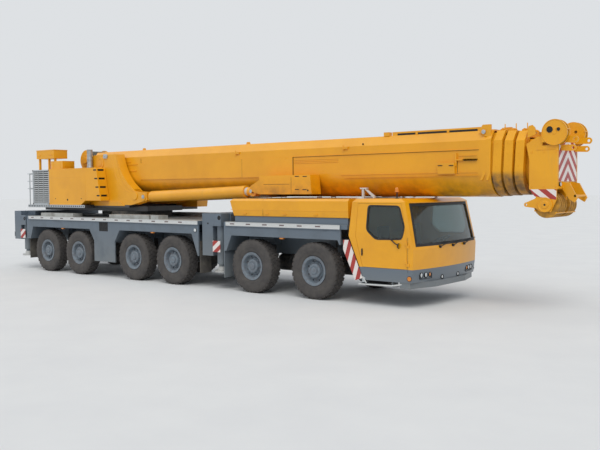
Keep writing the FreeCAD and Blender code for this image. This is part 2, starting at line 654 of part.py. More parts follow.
# The cab's outline by level: name of the level, height, back, nose, share of the bow and
# how far its sides lean in
CAB_LEVELS = [
    ("low", size.cab_low, size.cab_back_low, size.cab_nose_low, 1.0, as_size(0)),
    ("sill", size.cab_sill, size.cab_back_low, size.cab_nose_low + 40, 1.0, as_size(0)),
    ("belt", size.cab_belt, size.cab_back_belt, size.cab_nose_belt, 1.0, as_size(0)),
    ("waist", size.cab_waist, size.cab_back_waist, size.cab_nose_belt - 60, 1.0, as_size(0)),
    ("eaves", size.cab_eaves, size.cab_back_top, size.cab_nose_top, 0.8, size.cab_eaves_tuck),
    ("roof", size.cab_roof, size.cab_back_roof, size.cab_nose_roof, 0.5, size.cab_roof_tuck),
]


def cab_section(name, level, back, nose, bow, half):
    """One level of the cab: straight back and sides, and a front bowed to an arc."""
    body = doc.addObject("PartDesign::Body", name)
    sketch = sketch_on(body, name + "_outline", "xy", level)
    corners = [(nose, half), (back, half), (back, -half), (nose, -half)]
    spots = [Vector(as_size(u).number, as_size(v).number, 0) for u, v in corners]
    for spot, following in zip(spots[:3], spots[1:]):
        sketch.addGeometry(Part.LineSegment(spot, following), False)
    tip = Vector((nose + bow).number, 0, 0)
    sketch.addGeometry(Part.Arc(spots[3], tip, spots[0]), False)
    for line in range(2):
        sketch.addConstraint(Sketcher.Constraint("Coincident", line, 2, line + 1, 1))
    sketch.addConstraint(Sketcher.Constraint("Coincident", 2, 2, 3, 1))
    sketch.addConstraint(Sketcher.Constraint("Coincident", 3, 2, 0, 1))
    for line, (u, v) in enumerate(corners[:3]):
        pin_point(sketch, line, 1, u, v)
    pin_point(sketch, 2, 2, *corners[3])
    radius = (half * half + bow * bow) / (bow * 2)
    number = sketch.addConstraint(Sketcher.Constraint("Radius", 3, radius.number))
    sketch.setExpression(f"Constraints[{number}]", radius.text)
    return sketch


def cab_form(name, inset, floor):
    """The cab's whole form, moved in by an inset on every side, with its bottom at a floor."""
    sections = []
    for word, level, back, nose, bow, tuck in CAB_LEVELS:
        if word == "low":
            level = floor
        if word == "roof":
            level = level - inset
        sections.append(cab_section(f"{name}_{word}", level, back + inset, nose - inset,
                                    size.cab_bow * bow, size.cab_half - tuck - inset))
    form = doc.addObject("Part::Loft", name)
    form.Sections = sections
    form.Solid = True
    form.Ruled = True
    return form


# The right door and its window as (x, z) corners, from the low rear corner up and round
DOOR = [(size.cab_back_low + size.cab_wall + size.door_back_gap, size.door_low),
        (size.door_waist_back, size.cab_waist), (size.door_top_back, size.door_high),
        (size.door_front - size.door_rake, size.door_high),
        (size.door_front, size.door_knee), (size.door_front, size.door_low)]
WINDOW = [(size.window_back, size.window_low + size.window_corner - 40),
          (size.window_back + 40, size.window_high),
          (size.window_front - size.window_rake, size.window_high),
          (size.window_front, size.window_low + size.window_corner),
          (size.window_front - 60, size.window_low),
          (size.window_back + size.window_corner, size.window_low)]
SCREEN = [(-size.screen_half, size.screen_low), (size.screen_half, size.screen_low),
          (size.screen_half - size.screen_lean, size.screen_high),
          (size.screen_lean - size.screen_half, size.screen_high)]


def inward(outline, step):
    """The outline moved in by a step towards its middle, along each axis."""
    middle_u = sum(as_size(u).number for u, v in outline) / len(outline)
    middle_v = sum(as_size(v).number for u, v in outline) / len(outline)
    moved = []
    for u, v in outline:
        u, v = as_size(u), as_size(v)
        moved.append((u + step if u.number < middle_u else u - step,
                      v + step if v.number < middle_v else v - step))
    return moved


HINGES = (("low", size.low_hinge), ("high", size.high_hinge))


def hinge_lug(name, z, sign):
    """Half of a right door hinge: sign 1 stands on the shell below z, -1 on the door above."""
    axis_x = size.door_front + size.hinge_ahead
    axis_y = -(size.cab_half + size.hinge_out)
    inside = axis_y + size.hinge_out * 2
    long = size.hinge_long
    ends = (z - long, z) if sign > 0 else (z + gap, z + long)
    barrel = rod(name + "_barrel", "z", ends, (axis_x, axis_y), size.hinge_radius)
    if sign > 0:
        leaf = box(name + "_leaf", (axis_x - 4, axis_x + long), (axis_y - 4, inside), ends)
        return fuse(name, barrel, leaf)
    arm = box(name + "_arm", (axis_x - long, axis_x), (axis_y - 8, axis_y + 8), ends)
    foot = box(name + "_foot", (axis_x - long, axis_x - 16), (axis_y, inside), ends)
    return fuse(name, barrel, arm, foot)


def build_cab():
    """The cab shell with its openings, the doors cut from the same wall, and the panes."""
    outer = cab_form("cab_outer", as_size(0), size.cab_low)
    inner = cab_form("cab_inner", size.cab_wall, size.cab_floor)
    wall = cut("cab_wall_whole", outer, inner)
    reach = size.cab_half + size.cab_wall
    inside = size.cab_half - size.cab_wall - size.cab_roof_tuck
    ahead = (size.cab_nose_roof, size.cab_nose_belt + size.cab_bow * 2)
    screen = prism("screen_opening", "yz", SCREEN, *ahead)
    door_hole = prism("door_opening", "xz", DOOR, -reach, reach)
    lugs = [hinge_lug(f"shell_hinge_{word}", z, 1) for word, z in HINGES]
    lug_side = fuse("shell_hinges", *lugs)
    node("cab_shell", fuse("cab_with_hinges", cut("cab_with_openings", wall, door_hole,
                                                  screen),
                           lug_side, mirrored("shell_hinges_twin", lug_side)))
    pane_outer = cab_form("pane_outer", size.glass_deep, size.cab_low)
    pane_inner = cab_form("pane_inner", size.glass_deep + size.glass_thick, size.cab_low)
    pane_wall = cut("pane_wall", pane_outer, pane_inner)
    screen_cutter = prism("screen_pane", "yz", inward(SCREEN, gap), *ahead)
    node("cab_windscreen", common("screen_glass", pane_wall, screen_cutter))
    door_cutter = prism("door_block", "xz", inward(DOOR, size.door_gap), -reach, -inside)
    window_hole = prism("window_opening", "xz", WINDOW, -reach, 0)
    window_block = prism("window_pane", "xz", inward(WINDOW, gap), -reach, 0)
    knuckles = [hinge_lug(f"door_hinge_{word}", z, -1) for word, z in HINGES]
    door = fuse("door_right", cut("door_panel", common("door_block_right", wall, door_cutter),
                                  window_hole), *knuckles)
    glass = common("glass_right", pane_wall, window_block)
    node("cab_door_right", door)
    node("cab_door_glass_right", glass)
    node("cab_door_left", mirrored("door_left", door))
    node("cab_door_glass_left", mirrored("glass_left", glass))


def build_cab_interior():
    """Two seats and the dashboard with the steering wheel, standing on the cab's floor."""
    floor = size.cab_floor
    back, front = size.dash_back, size.dash_front
    dash = prism("dashboard", "xz",
                 [(back + 50, floor), (back, size.dash_knee), (back + 60, size.dash_top),
                  (front, size.dash_top), (front, floor)], -size.dash_half, size.dash_half)
    seats = []
    low, high = size.seat_low, size.seat_high
    near, far = size.seat_back, size.seat_back + size.seat_long
    for word, sign in SIDES:
        y = sign * size.seat_y
        stem = size.seat_stem_half
        seats.append(box(f"seat_base_{word}", (near + 80, far - 80), (y - stem, y + stem),
                         (floor, low + lap)))
        seats.append(prism(f"seat_cushion_{word}", "xz",
                           [(near, low), (far, low), (far + 20, high - 40), (far - 20, high),
                            (near, high - 20)], y - size.seat_half, y + size.seat_half))
        seats.append(prism(f"seat_back_{word}", "xz",
                           [(near - 90, high - 30), (near - 90 + size.rest_thick, high - 30),
                            (near - 30, size.rest_high), (near - 140, size.rest_high)],
                           y - size.seat_half, y + size.seat_half))
    hub = Vector(size.wheel_hub_x.number, size.seat_y.number, size.wheel_hub_z.number)
    lean = Rotation(Vector(0, 1, 0), -25)
    ring = doc.addObject("Part::Torus", "steering_ring")
    ring.Placement = FreeCAD.Placement(hub, lean)
    bind(ring, "Radius1", size.wheel_ring)
    bind(ring, "Radius2", size.wheel_bar)
    place(ring, size.wheel_hub_x, size.seat_y, size.wheel_hub_z)
    spoke = rod("steering_spoke", "y", (size.seat_y - size.wheel_ring,
                                        size.seat_y + size.wheel_ring),
                (size.wheel_hub_x, size.wheel_hub_z), size.wheel_bar * 0.9)
    column = doc.addObject("Part::Cylinder", "steering_column")
    column.Placement = FreeCAD.Placement(Vector(), lean.multiply(Rotation(Vector(1, 0, 0), 180)))
    bind(column, "Radius", size.column_radius)
    bind(column, "Height", size.column_long)
    place(column, size.wheel_hub_x, size.seat_y, size.wheel_hub_z)
    return node("cab_interior", fuse("interior", dash, *seats, ring, spoke, column))


def build_bumper():
    """The bumper below the cab's nose and the boarding steps under each door."""
    half, mid = size.bumper_half, size.bumper_mid
    back, end, nose = size.bumper_back, size.bumper_end, size.bumper_nose
    bumper = prism("bumper_block", "xy",
                   [(back, -half), (end, -half), (nose, -mid), (nose, mid), (end, half),
                    (back, half)], size.bumper_low, size.cab_low)
    right_y = (-half, -size.tread_inner)
    tread = box("tread", (size.tread_back, size.tread_front), right_y,
                (size.tread_low, size.tread_low + size.tread_thick))
    posts = [box(f"step_post_{word}", (x, x + size.step_post),
                 (size.step_post - half, -size.tread_inner - size.step_post),
                 (size.tread_low + size.tread_thick - lap, size.cab_low))
             for word, x in (("rear", size.tread_back + size.post_inset),
                             ("front", size.tread_front - size.post_inset - size.step_post))]
    step = fuse("step_right", tread, *posts)
    return node("bumper_and_steps", group("bumper_steps", bumper, step,
                                          mirrored("step_left", step)))


def build_boom_rest():
    """The rest between hood and cab: a cross beam just under the boom."""
    beam = box("rest_beam", (size.rest_back, size.rest_back + size.rest_long),
               (-size.rest_half, size.rest_half), (size.hood_top, size.rest_top))
    return node("boom_rest", beam)


def build_slewing_ring():
    ring = rod("ring_body", "z", (size.deck_top, size.ring_top - gap), (size.slew_x, 0),
               size.ring_radius)
    return node("slewing_ring", ring)


def build_superstructure():
    """The turntable: base, side columns for boom and cylinders, and the rear platform."""
    back, front, under = size.base_back, size.base_front, size.base_top
    base = prism("turntable_base", "xy",
                 [(back + size.plate_back_in, -size.plate_back_half),
                  (front, -size.plate_front_half), (front, size.plate_front_half),
                  (back + size.plate_back_in, size.plate_back_half)], size.ring_top, under)
    foot, foot_z = size.foot_x, size.foot_z
    shoulder, crown = size.column_shoulder, size.column_top
    column = prism("column", "xz",
                   [(size.column_back, under - lap), (shoulder, crown - 90),
                    (shoulder + 160, crown), (size.column_front, crown),
                    (size.column_waist_x, size.column_waist_z),
                    (size.column_toe_x, size.column_toe_z),
                    (foot + size.toe_ahead, foot_z + size.toe_up),
                    (foot + size.toe_ahead, foot_z - size.toe_down),
                    (size.column_sole, under - lap)],
                   size.column_in, size.column_out, rounds=[((4,), size.column_curve)])
    sides = (size.cylinder_y - size.slot_half, size.cylinder_y + size.slot_half)
    slot = box("foot_slot", (foot - size.slot_back, foot + size.toe_ahead + lap), sides,
               (under - lap, size.column_waist_z))
    bore = rod("pivot_bore", "y", (size.column_in - lap, size.column_out + lap),
               (size.pivot_x, size.pivot_z), size.pivot_radius + gap)
    pin = rod("foot_pin", "y", (size.column_in - size.pin_lap, size.column_out + size.pin_lap),
              (foot, foot_z), size.foot_pin)
    sole = box("column_base", (size.column_back, size.column_sole + 100),
               (size.column_in - 50, size.column_out), (under - 40, under + 10))
    side = fuse("column_side", cut("column_cut", column, slot, bore), pin, sole)
    platform = box("rear_platform", (back, size.platform_front),
                   (-size.house_half, size.house_half),
                   (size.house_floor - size.platform_thick, size.house_floor))
    shelf = box("crane_cab_shelf", (size.shelf_back, size.shelf_front),
                (size.shelf_in, size.shelf_out),
                (size.ring_top + size.shelf_gap, size.box_cab_low))
    keel = box("rear_keel", (back, front - size.keel_front_in),
               (-size.keel_half, size.keel_half), (size.ring_top + size.keel_gap, under))
    return node("superstructure_frame",
                fuse("superstructure", base, side, mirrored("column_side_twin", side),
                     platform, keel, shelf))


def build_house_right():
    """The engine house: stepped below, footholds in its slanted front, louvres behind."""
    low, top = size.house_floor, size.house_top
    near, far = -size.house_half, -size.house_in
    house = prism("house_right", "xz",
                  [(size.house_back, low), (size.house_back, top), (size.house_front, top),
                   (size.house_foot, size.house_step), (size.step_front, size.house_step),
                   (size.step_back, low)], near, far, rounds=[((2,), size.house_round)])
    slope = (size.house_foot - size.house_front) / (top - size.house_step)
    footholds = []
    for step in range(4):
        z = size.foothold_low + size.foothold_pitch * step
        face = size.house_foot - (z - size.house_step) * slope
        middle = (near + far) / 2
        footholds.append(box(f"foothold_{step}", (face - size.foothold_deep, size.house_foot),
                             (middle - size.foothold_half, middle + size.foothold_half),
                             (z, z + size.foothold_high)))
    outside = near + size.grille_inset
    frame = size.grille_frame
    block = box("grille_block", (size.grille_back, size.house_back + lap), (outside, far),
                (low, top - frame / 4))
    ends = (size.grille_back + frame, size.house_back - frame)
    recess = box("grille_recess", ends, (outside - lap, outside + size.grille_deep),
                 (low + frame, top - frame))
    count = int((top - low - frame * 2).number / size.slat_pitch.number)
    slats = []
    for step in range(count):
        z = low + frame + size.slat_pitch * (step + 0.25)
        slats.append(box(f"slat_{step}", (ends[0] - lap, ends[1] + lap),
                         (outside + size.pin_lap, outside + size.slat_deep),
                         (z, z + size.slat_high)))
    stack = rod("stack_pipe", "z", (top - size.pin_lap, size.stack_top),
                (size.stack_x, -size.stack_y), size.stack_radius)
    roof_box = box("roof_box", (size.lower_box_back, size.lower_box_front),
                   (near + size.loft_leg_in, -size.loft_box_in),
                   (top - lap, size.lower_box_top))
    return fuse("houses_right", cut("house_with_footholds", house, *footholds),
                cut("grille_open", block, recess), *slats, stack, roof_box)


def build_houses():
    """The right engine house and its plain twin on the left side."""
    low, top = size.house_floor, size.house_top
    slope = size.left_house_slope
    left = prism("house_left", "xz",
                 [(size.grille_back, low), (size.grille_back, top - slope),
                  (size.grille_back + slope, top), (size.left_house_front, top),
                  (size.left_house_front, size.house_step),
                  (size.step_front, size.house_step), (size.step_back, low)],
                 size.house_in, size.house_half)
    return node("engine_houses", group("houses", build_house_right(), left))


def build_tail():
    """The winch behind the boom, the box above the house and the rear guard rail."""
    half, wide = size.winch_half, size.flange_thick
    drum = turned("winch_drum", [(-half - wide, as_size(0)), (-half - wide, size.winch_radius),
                                 (-half, size.winch_radius), (-half, size.drum_radius),
                                 (half, size.drum_radius), (half, size.winch_radius),
                                 (half + wide, size.winch_radius), (half + wide, as_size(0))])
    placed = group("winch_drum_placed", drum)
    place(placed, size.winch_x, 0, size.winch_z)
    foot, crown = size.cheek_foot, size.cheek_top
    cheeks = [prism(f"winch_cheek_{word}", "xz",
                    [(size.winch_x - foot, size.house_floor),
                     (size.winch_x - crown, size.winch_z),
                     (size.winch_x + crown, size.winch_z),
                     (size.winch_x + foot, size.house_floor)], y, y + wide)
              for word, y in (("right", -half - wide), ("left", half))]
    winch = fuse("winch_whole", placed, *cheeks)
    low_y = -size.house_half
    leg = size.loft_leg
    leg_y = (low_y + leg, low_y + leg * 2)
    upper = box("upper_box", (size.loft_box_back, size.loft_box_front),
                (low_y, -size.loft_box_in), (size.loft_box_low, size.loft_box_high))
    roof = size.house_top - size.grille_frame / 4
    legs = [box(f"upper_leg_{word}", (x, x + leg), leg_y, (low, size.loft_box_low + lap))
            for word, x, low in (("rear", size.loft_box_back + leg / 2, roof),
                                 ("middle", size.house_back - leg * 2, roof),
                                 ("front", size.loft_box_front - leg * 1.5,
                                  size.lower_box_top))]
    carried = fuse("upper_whole", upper, *legs)
    reach, top = size.rail_half, size.rail_top
    posts = [rod(f"rail_post_{step}", "z", (size.house_floor, top), (size.rail_x, y),
                 size.rail_post)
             for step, y in enumerate((-reach, -size.rail_inner, size.rail_inner, reach))]
    bars = [rod(f"rail_bar_{step}", "y", (-reach - size.rail_radius, reach + size.rail_radius),
                (size.rail_x, z), size.rail_radius)
            for step, z in enumerate((top, top - size.rail_step))]
    rail = fuse("rail", *posts, *bars)
    return node("winch_and_rails", group("tail", winch, carried, rail))


def build_crane_cab():
    """The operator's cab on the left: hollow, with a front pane and a sliding door."""
    wall = size.box_cab_wall
    back, front = size.box_cab_back, size.box_cab_front
    low, top = size.box_cab_low, size.box_cab_top
    near, far = size.box_cab_in, size.box_cab_out
    # The cab's side as (x, z) corners
    side = [(back, low), (back, top), (front - size.box_brow, top),
            (front - size.box_brow_in, top - size.box_brow_drop),
            (front, low + size.box_chin), (front - size.box_chin_in, low)]
    door_back = back + size.box_door_back
    door_front = door_back + size.box_door_long
    door_low, door_top = low + size.box_door_foot, top - size.box_door_head
    hole = [(door_back, door_low), (door_back, door_top), (door_front, door_top),
            (door_front, door_low)]
    outer = prism("crane_cab_outer", "xz", side, near, far)
    inner = prism("crane_cab_inner", "xz", inward(side, wall), near + wall, far - wall)
    shell_wall = cut("crane_cab_wall", outer, inner)
    door_hole = prism("crane_door_opening", "xz", hole, far - wall - lap, far + lap)
    ahead = (front - size.box_pane_back, front + size.box_chin_in)
    sides = (near + size.box_pane_side, far - size.box_pane_side)
    levels = (low + size.box_pane_low, top - size.box_pane_top)
    front_hole = box("crane_front_opening", ahead, sides, levels)
    leaf_in = far + size.box_door_off
    leaf_out = leaf_in + size.box_door_thick
    leaf_low, leaf_top = door_low - size.box_door_lap, door_top + size.box_door_lap
    rail_x = (back + size.box_rail_in, front - size.box_rail_front)
    rails = [box(f"crane_door_{word}_rail", rail_x, (far - lap, leaf_out + size.box_rail_gap),
                 (z, z + size.box_rail_high))
             for word, z in (("low", leaf_low - size.box_rail_high - gap),
                             ("top", leaf_top + size.box_rail_gap))]
    node("crane_cab_shell", fuse("crane_cab", cut("crane_cab_open", shell_wall, door_hole,
                                                  front_hole), *rails))
    layers = [prism(f"crane_pane_{word}", "xz", inward(side, deep), near + deep, far - deep)
              for word, deep in (("outer", size.box_pane_deep),
                                 ("inner", size.box_pane_deep + size.glass_thick))]
    pane_block = box("crane_pane_block", (ahead[0] + gap, ahead[1]),
                     (sides[0] + gap, sides[1] - gap), (levels[0] + gap, levels[1] - gap))
    node("crane_cab_glass", common("crane_pane", cut("crane_pane_wall", *layers), pane_block))
    leaf = prism("crane_door_leaf", "xz",
                 [(door_back - size.box_door_lap, leaf_low),
                  (door_back - size.box_door_lap, leaf_top),
                  (door_front + size.box_door_lap, leaf_top),
                  (door_front + size.box_door_lap, leaf_low)], leaf_in, leaf_out)
    edge = size.box_window_edge
    window = box("crane_door_window", (door_back + edge, door_front - edge),
                 (far, leaf_out + lap), (door_low + size.box_window_foot, door_top - edge))
    node("crane_cab_door", cut("crane_door", leaf, window))
    seat_low = low + size.box_seat_high - size.box_seat_thick
    seat_back = back + size.box_seat_back
    seat_front = seat_back + size.box_seat_long
    middle = (near + far) / 2
    stem, half = size.box_stem_half, size.box_seat_half
    base = box("crane_seat_base", (seat_back + 70, seat_front - 70),
               (middle - stem, middle + stem), (low + wall, seat_low + lap))
    cushion = box("crane_seat_cushion", (seat_back, seat_front), (middle - half, middle + half),
                  (seat_low, seat_low + size.box_seat_thick))
    rest = box("crane_seat_back", (seat_back - size.box_rest_thick, seat_back + lap),
               (middle - half, middle + half), (seat_low + 40, low + size.box_rest_high))
    node("crane_cab_seat", fuse("crane_seat", base, cushion, rest))


def build_cylinders():
    """Both luffing cylinders: barrels on the foot pins, rods with eyes under the boom."""
    foot_x, foot_z = size.foot_x, size.foot_z
    eye_x, eye_z = size.eye_x, size.eye_z
    run = math.hypot((eye_x - foot_x).number, (eye_z - foot_z).number)
    slope = math.degrees(math.atan2((eye_z - foot_z).number, (eye_x - foot_x).number))
    y, radius = size.cylinder_y, size.barrel_radius
    wide = (y - size.eye_half, y + size.eye_half)
    through = (y - size.eye_half * 2, y + size.eye_half * 2)
    # Built along +X from the foot pin, then tilted up to the eye
    long_barrel = as_size(run) - size.barrel_end
    barrel = rod("barrel_body", "x", (size.barrel_start, long_barrel), (y, 0), radius)
    gland = rod("barrel_gland", "x", (long_barrel - size.gland_long, long_barrel), (y, 0),
                radius + size.gland_lip)
    neck = box("barrel_neck", (0, size.barrel_start + size.gland_lip), wide,
               (-size.neck_half, size.neck_half))
    lug = rod("barrel_lug", "y", wide, (0, 0), size.lug_radius)
    bore = rod("barrel_bore", "x", (size.barrel_bore_start, long_barrel + lap), (y, 0),
               size.rod_radius + gap)
    pin_bore = rod("barrel_pin_bore", "y", through, (0, 0), size.foot_pin + gap)
    right = cut("barrel", fuse("barrel_whole", barrel, gland, neck, lug), bore, pin_bore)
    stem = rod("rod_stem", "x", (size.rod_start, as_size(run) - size.rod_end), (y, 0),
               size.rod_radius)
    eye = rod("rod_eye", "y", wide, (run, 0), size.eye_radius)
    eye_bore = rod("rod_eye_bore", "y", through, (run, 0), size.foot_pin)
    rods = cut("rod", fuse("rod_whole", stem, eye), eye_bore)
    for label, piece in (("luffing_barrels", right), ("luffing_rods", rods)):
        pair = group(label + "_pair", piece, mirrored(label + "_twin", piece))
        pair.Placement = FreeCAD.Placement(Vector(), Rotation(Vector(0, 1, 0), -slope))
        place(pair, foot_x, 0, foot_z)
        node(label, pair)


def tube_sketch(sketch, half, low, high):
    """A boom section's outline: round below, upright sides and bevelled top corners."""
    first = sketch.GeometryCount
    spring = low + half
    shoulder = high - size.bevel_z
    corners = [(half, spring), (half, shoulder), (half - size.bevel_y, high),
               (size.bevel_y - half, high), (-half, shoulder), (-half, spring)]
    spots = [Vector(as_size(u).number, as_size(v).number, 0) for u, v in corners]
    for spot, following in zip(spots[:5], spots[1:]):
        sketch.addGeometry(Part.LineSegment(spot, following), False)
    sketch.addGeometry(Part.Arc(spots[5], Vector(0, as_size(low).number, 0), spots[0]), False)
    for line in range(5):
        sketch.addConstraint(
            Sketcher.Constraint("Coincident", first + line, 2, first + line + 1, 1))
    sketch.addConstraint(Sketcher.Constraint("Coincident", first + 5, 2, first, 1))
    for line, (u, v) in enumerate(corners):
        pin_point(sketch, first + line, 1, u, v)
    spring = as_size(spring)
    number = sketch.addConstraint(
        Sketcher.Constraint("DistanceY", -1, 1, first + 5, 3, spring.number))
    sketch.setExpression(f"Constraints[{number}]", spring.text)


def boom_tube(name, back, front, half, low, high, wall):
    """A hollow length of boom."""
    body = doc.addObject("PartDesign::Body", name)
    sketch = sketch_on(body, name + "_outline", "yz", back)
    tube_sketch(sketch, half, low, high)
    tube_sketch(sketch, half - wall, low + wall, high - wall)
    pad = body.newObject("PartDesign::Pad", name + "_pad")
    pad.Profile = sketch
    bind(pad, "Length", as_size(front) - back)
    body.Tip = pad
    return body


def nest(step):
    """How far a boom section's outside lies in from the base section's outside."""
    return (size.boom_wall + size.nest_gap) * step


def collar_front(step):
    """The front end of each section's collar; section 0 is the base."""
    return size.boom_front + (size.collar_long + size.collar_gap) * step


def section_sizes(step):
    inset = nest(step)
    return size.boom_half - inset, size.boom_low + inset, size.boom_high - inset


def wear_pad(step, front):
    """The slide under the next section: it fills the gap but for the sliding clearance."""
    half, low, high = section_sizes(step)
    next_half, next_low, next_high = section_sizes(step + 1)
    end = front - size.pad_inset
    return box(f"wear_pad_{step}", (end - size.pad_long, end),
               (-size.pad_wide / 2, size.pad_wide / 2), (low + size.boom_wall / 2, next_low - gap))


def build_bracket(half):
    """The cylinder bracket under the boom's side: a box with two cheeks round the rod's eye."""
    eye_x, eye_z = size.eye_x, size.eye_z
    low, high = size.bracket_low, size.bracket_high
    nose = [(size.bracket_front, high), (size.bracket_front + size.cheek_lean, low)]
    behind = eye_x - size.bracket_behind
    cheek = [(behind, eye_z + size.eye_radius), (eye_x + size.cheek_rise, high)] + nose + \
        [(eye_x + size.cheek_drop, low), (behind, eye_z)]
    start = eye_x + size.bracket_start
    body = [(start, low), (start, high)] + nose
    inside = size.cylinder_y - size.eye_half - size.cheek_gap
    outside = size.cylinder_y + size.eye_half + size.cheek_gap
    return [prism("bracket_body", "xz", body, half - lap, size.bracket_out - size.cheek_gap),
            prism("cheek_in", "xz", cheek, half - lap, inside),
            prism("cheek_out", "xz", cheek, outside, size.bracket_out)]


def build_roller_lug(half, high):
    """The lug with the rope roller on the base section's front shoulder."""
    front = size.boom_front
    back, end = front - size.roller_lug_back, front - size.roller_lug_front
    low, top = high - size.roller_lug_low, high + size.roller_lug_high
    ends = (half - size.roller_lug_in, half - size.roller_lug_in + size.roller_lug_thick)
    plate = prism("roller_lug_plate", "xz",
                  [(back, high), (back + size.roller_lug_in, top), (end, top), (end, low),
                   (back + size.roller_lug_low, low)], *ends)
    roller = rod("roller_lug_pin", "y", (ends[0], ends[1] + size.roller_drop / 2),
                 (front - size.roller_back, high - size.roller_drop), size.roller_radius)
    return [plate, roller]


def build_boom_base():
    half, low, high = section_sizes(0)
    back, front = size.boom_rear, size.boom_front
    tube = boom_tube("base_tube", back, front, half, low, high, size.boom_wall)
    outside = half + size.base_collar_wall
    corner = prism("rear_corner", "xz",
                   [(back - lap, low - lap), (back - lap, low + size.rear_cut_high),
                    (back, low + size.rear_cut_high), (back + size.rear_cut_long, low - lap)],
                   -outside, outside)
    nose = prism("front_slant", "xz",
                 [(front - size.base_slant, low - lap * 2), (front, high + size.rear_cut_high),
                  (front + lap, low - lap * 2)], -outside, outside)
    collar = boom_tube("base_collar", front - size.base_collar_long, front,
                       half + size.pin_lap, low - lap, high + size.base_collar_rise,
                       size.base_collar_wall)
    reach = size.column_out + size.pin_lap
    pin = rod("pivot_pin", "y", (-reach, reach), (size.pivot_x, size.pivot_z),
              size.pivot_radius)
    side = [prism("side_plate", "xz",
                  [(size.plate_back, size.plate_low), (size.plate_back, size.plate_high),
                   (size.plate_front, size.plate_high), (size.plate_front, size.plate_low)],
                  half - lap, half + size.plate_thick)]
    side += build_bracket(half) + build_roller_lug(half, high)
    wing = fuse("boom_side", *side)
    inner_rail = size.top_rail_y
    rail = box("top_rail", (size.top_rail_back, size.top_rail_front),
               (-inner_rail - size.top_rail_wide, -inner_rail),
               (high - lap * 2, high + size.top_rail_high))
    whole = fuse("boom_base_whole", cut("base_trimmed", fuse("base_with_collar", tube, collar),
                                        corner, nose),
                 pin, wing, mirrored("boom_side_twin", wing), rail, wear_pad(0, front))
    return node("boom_base", whole)


def build_sections():
    """Three telescopic sections, each with a thick slanted collar that the next slides in."""
    for step in (1, 2, 3):
        half, low, high = section_sizes(step)
        front = collar_front(step)
        slant = size.collar_slant
        tube = boom_tube(f"section_tube_{step}", size.first_nest + size.nest_step * step,
                         front - slant - lap, half, low, high, size.boom_wall)
        grow = nest(step) * 0.75
        back = front - size.collar_long
        ring = boom_tube(f"section_ring_{step}", back - slant, front, half + grow, low - grow,
                         high + grow, grow + size.boom_wall)
        edge = half + grow + lap
        profile = prism(f"collar_profile_{step}", "xz",
                        [(back - slant, low - grow - lap), (back, high + grow + lap),
                         (front, high + grow + lap), (front - slant, low - grow - lap)],
                        -edge, edge)
        node(f"boom_section_{step}",
             fuse(f"section_{step}", tube, common(f"collar_{step}", ring, profile),
                  wear_pad(step, front)))


def eye_plate(name, root_x, root_low, root_high, spot, radius, hole, y):
    """A plate from a root edge out to a drilled round eye."""
    x, z = spot
    web = prism(name + "_web", "xz", [(root_x, root_low), (root_x, root_high), (x, z + radius),
                                      (x, z - radius)], *y)
    eye = rod(name + "_eye", "y", y, spot, radius)
    return cut(name, fuse(name + "_solid", web, eye),
               rod(name + "_hole", "y", (y[0] - lap, y[1] + lap), spot, hole))


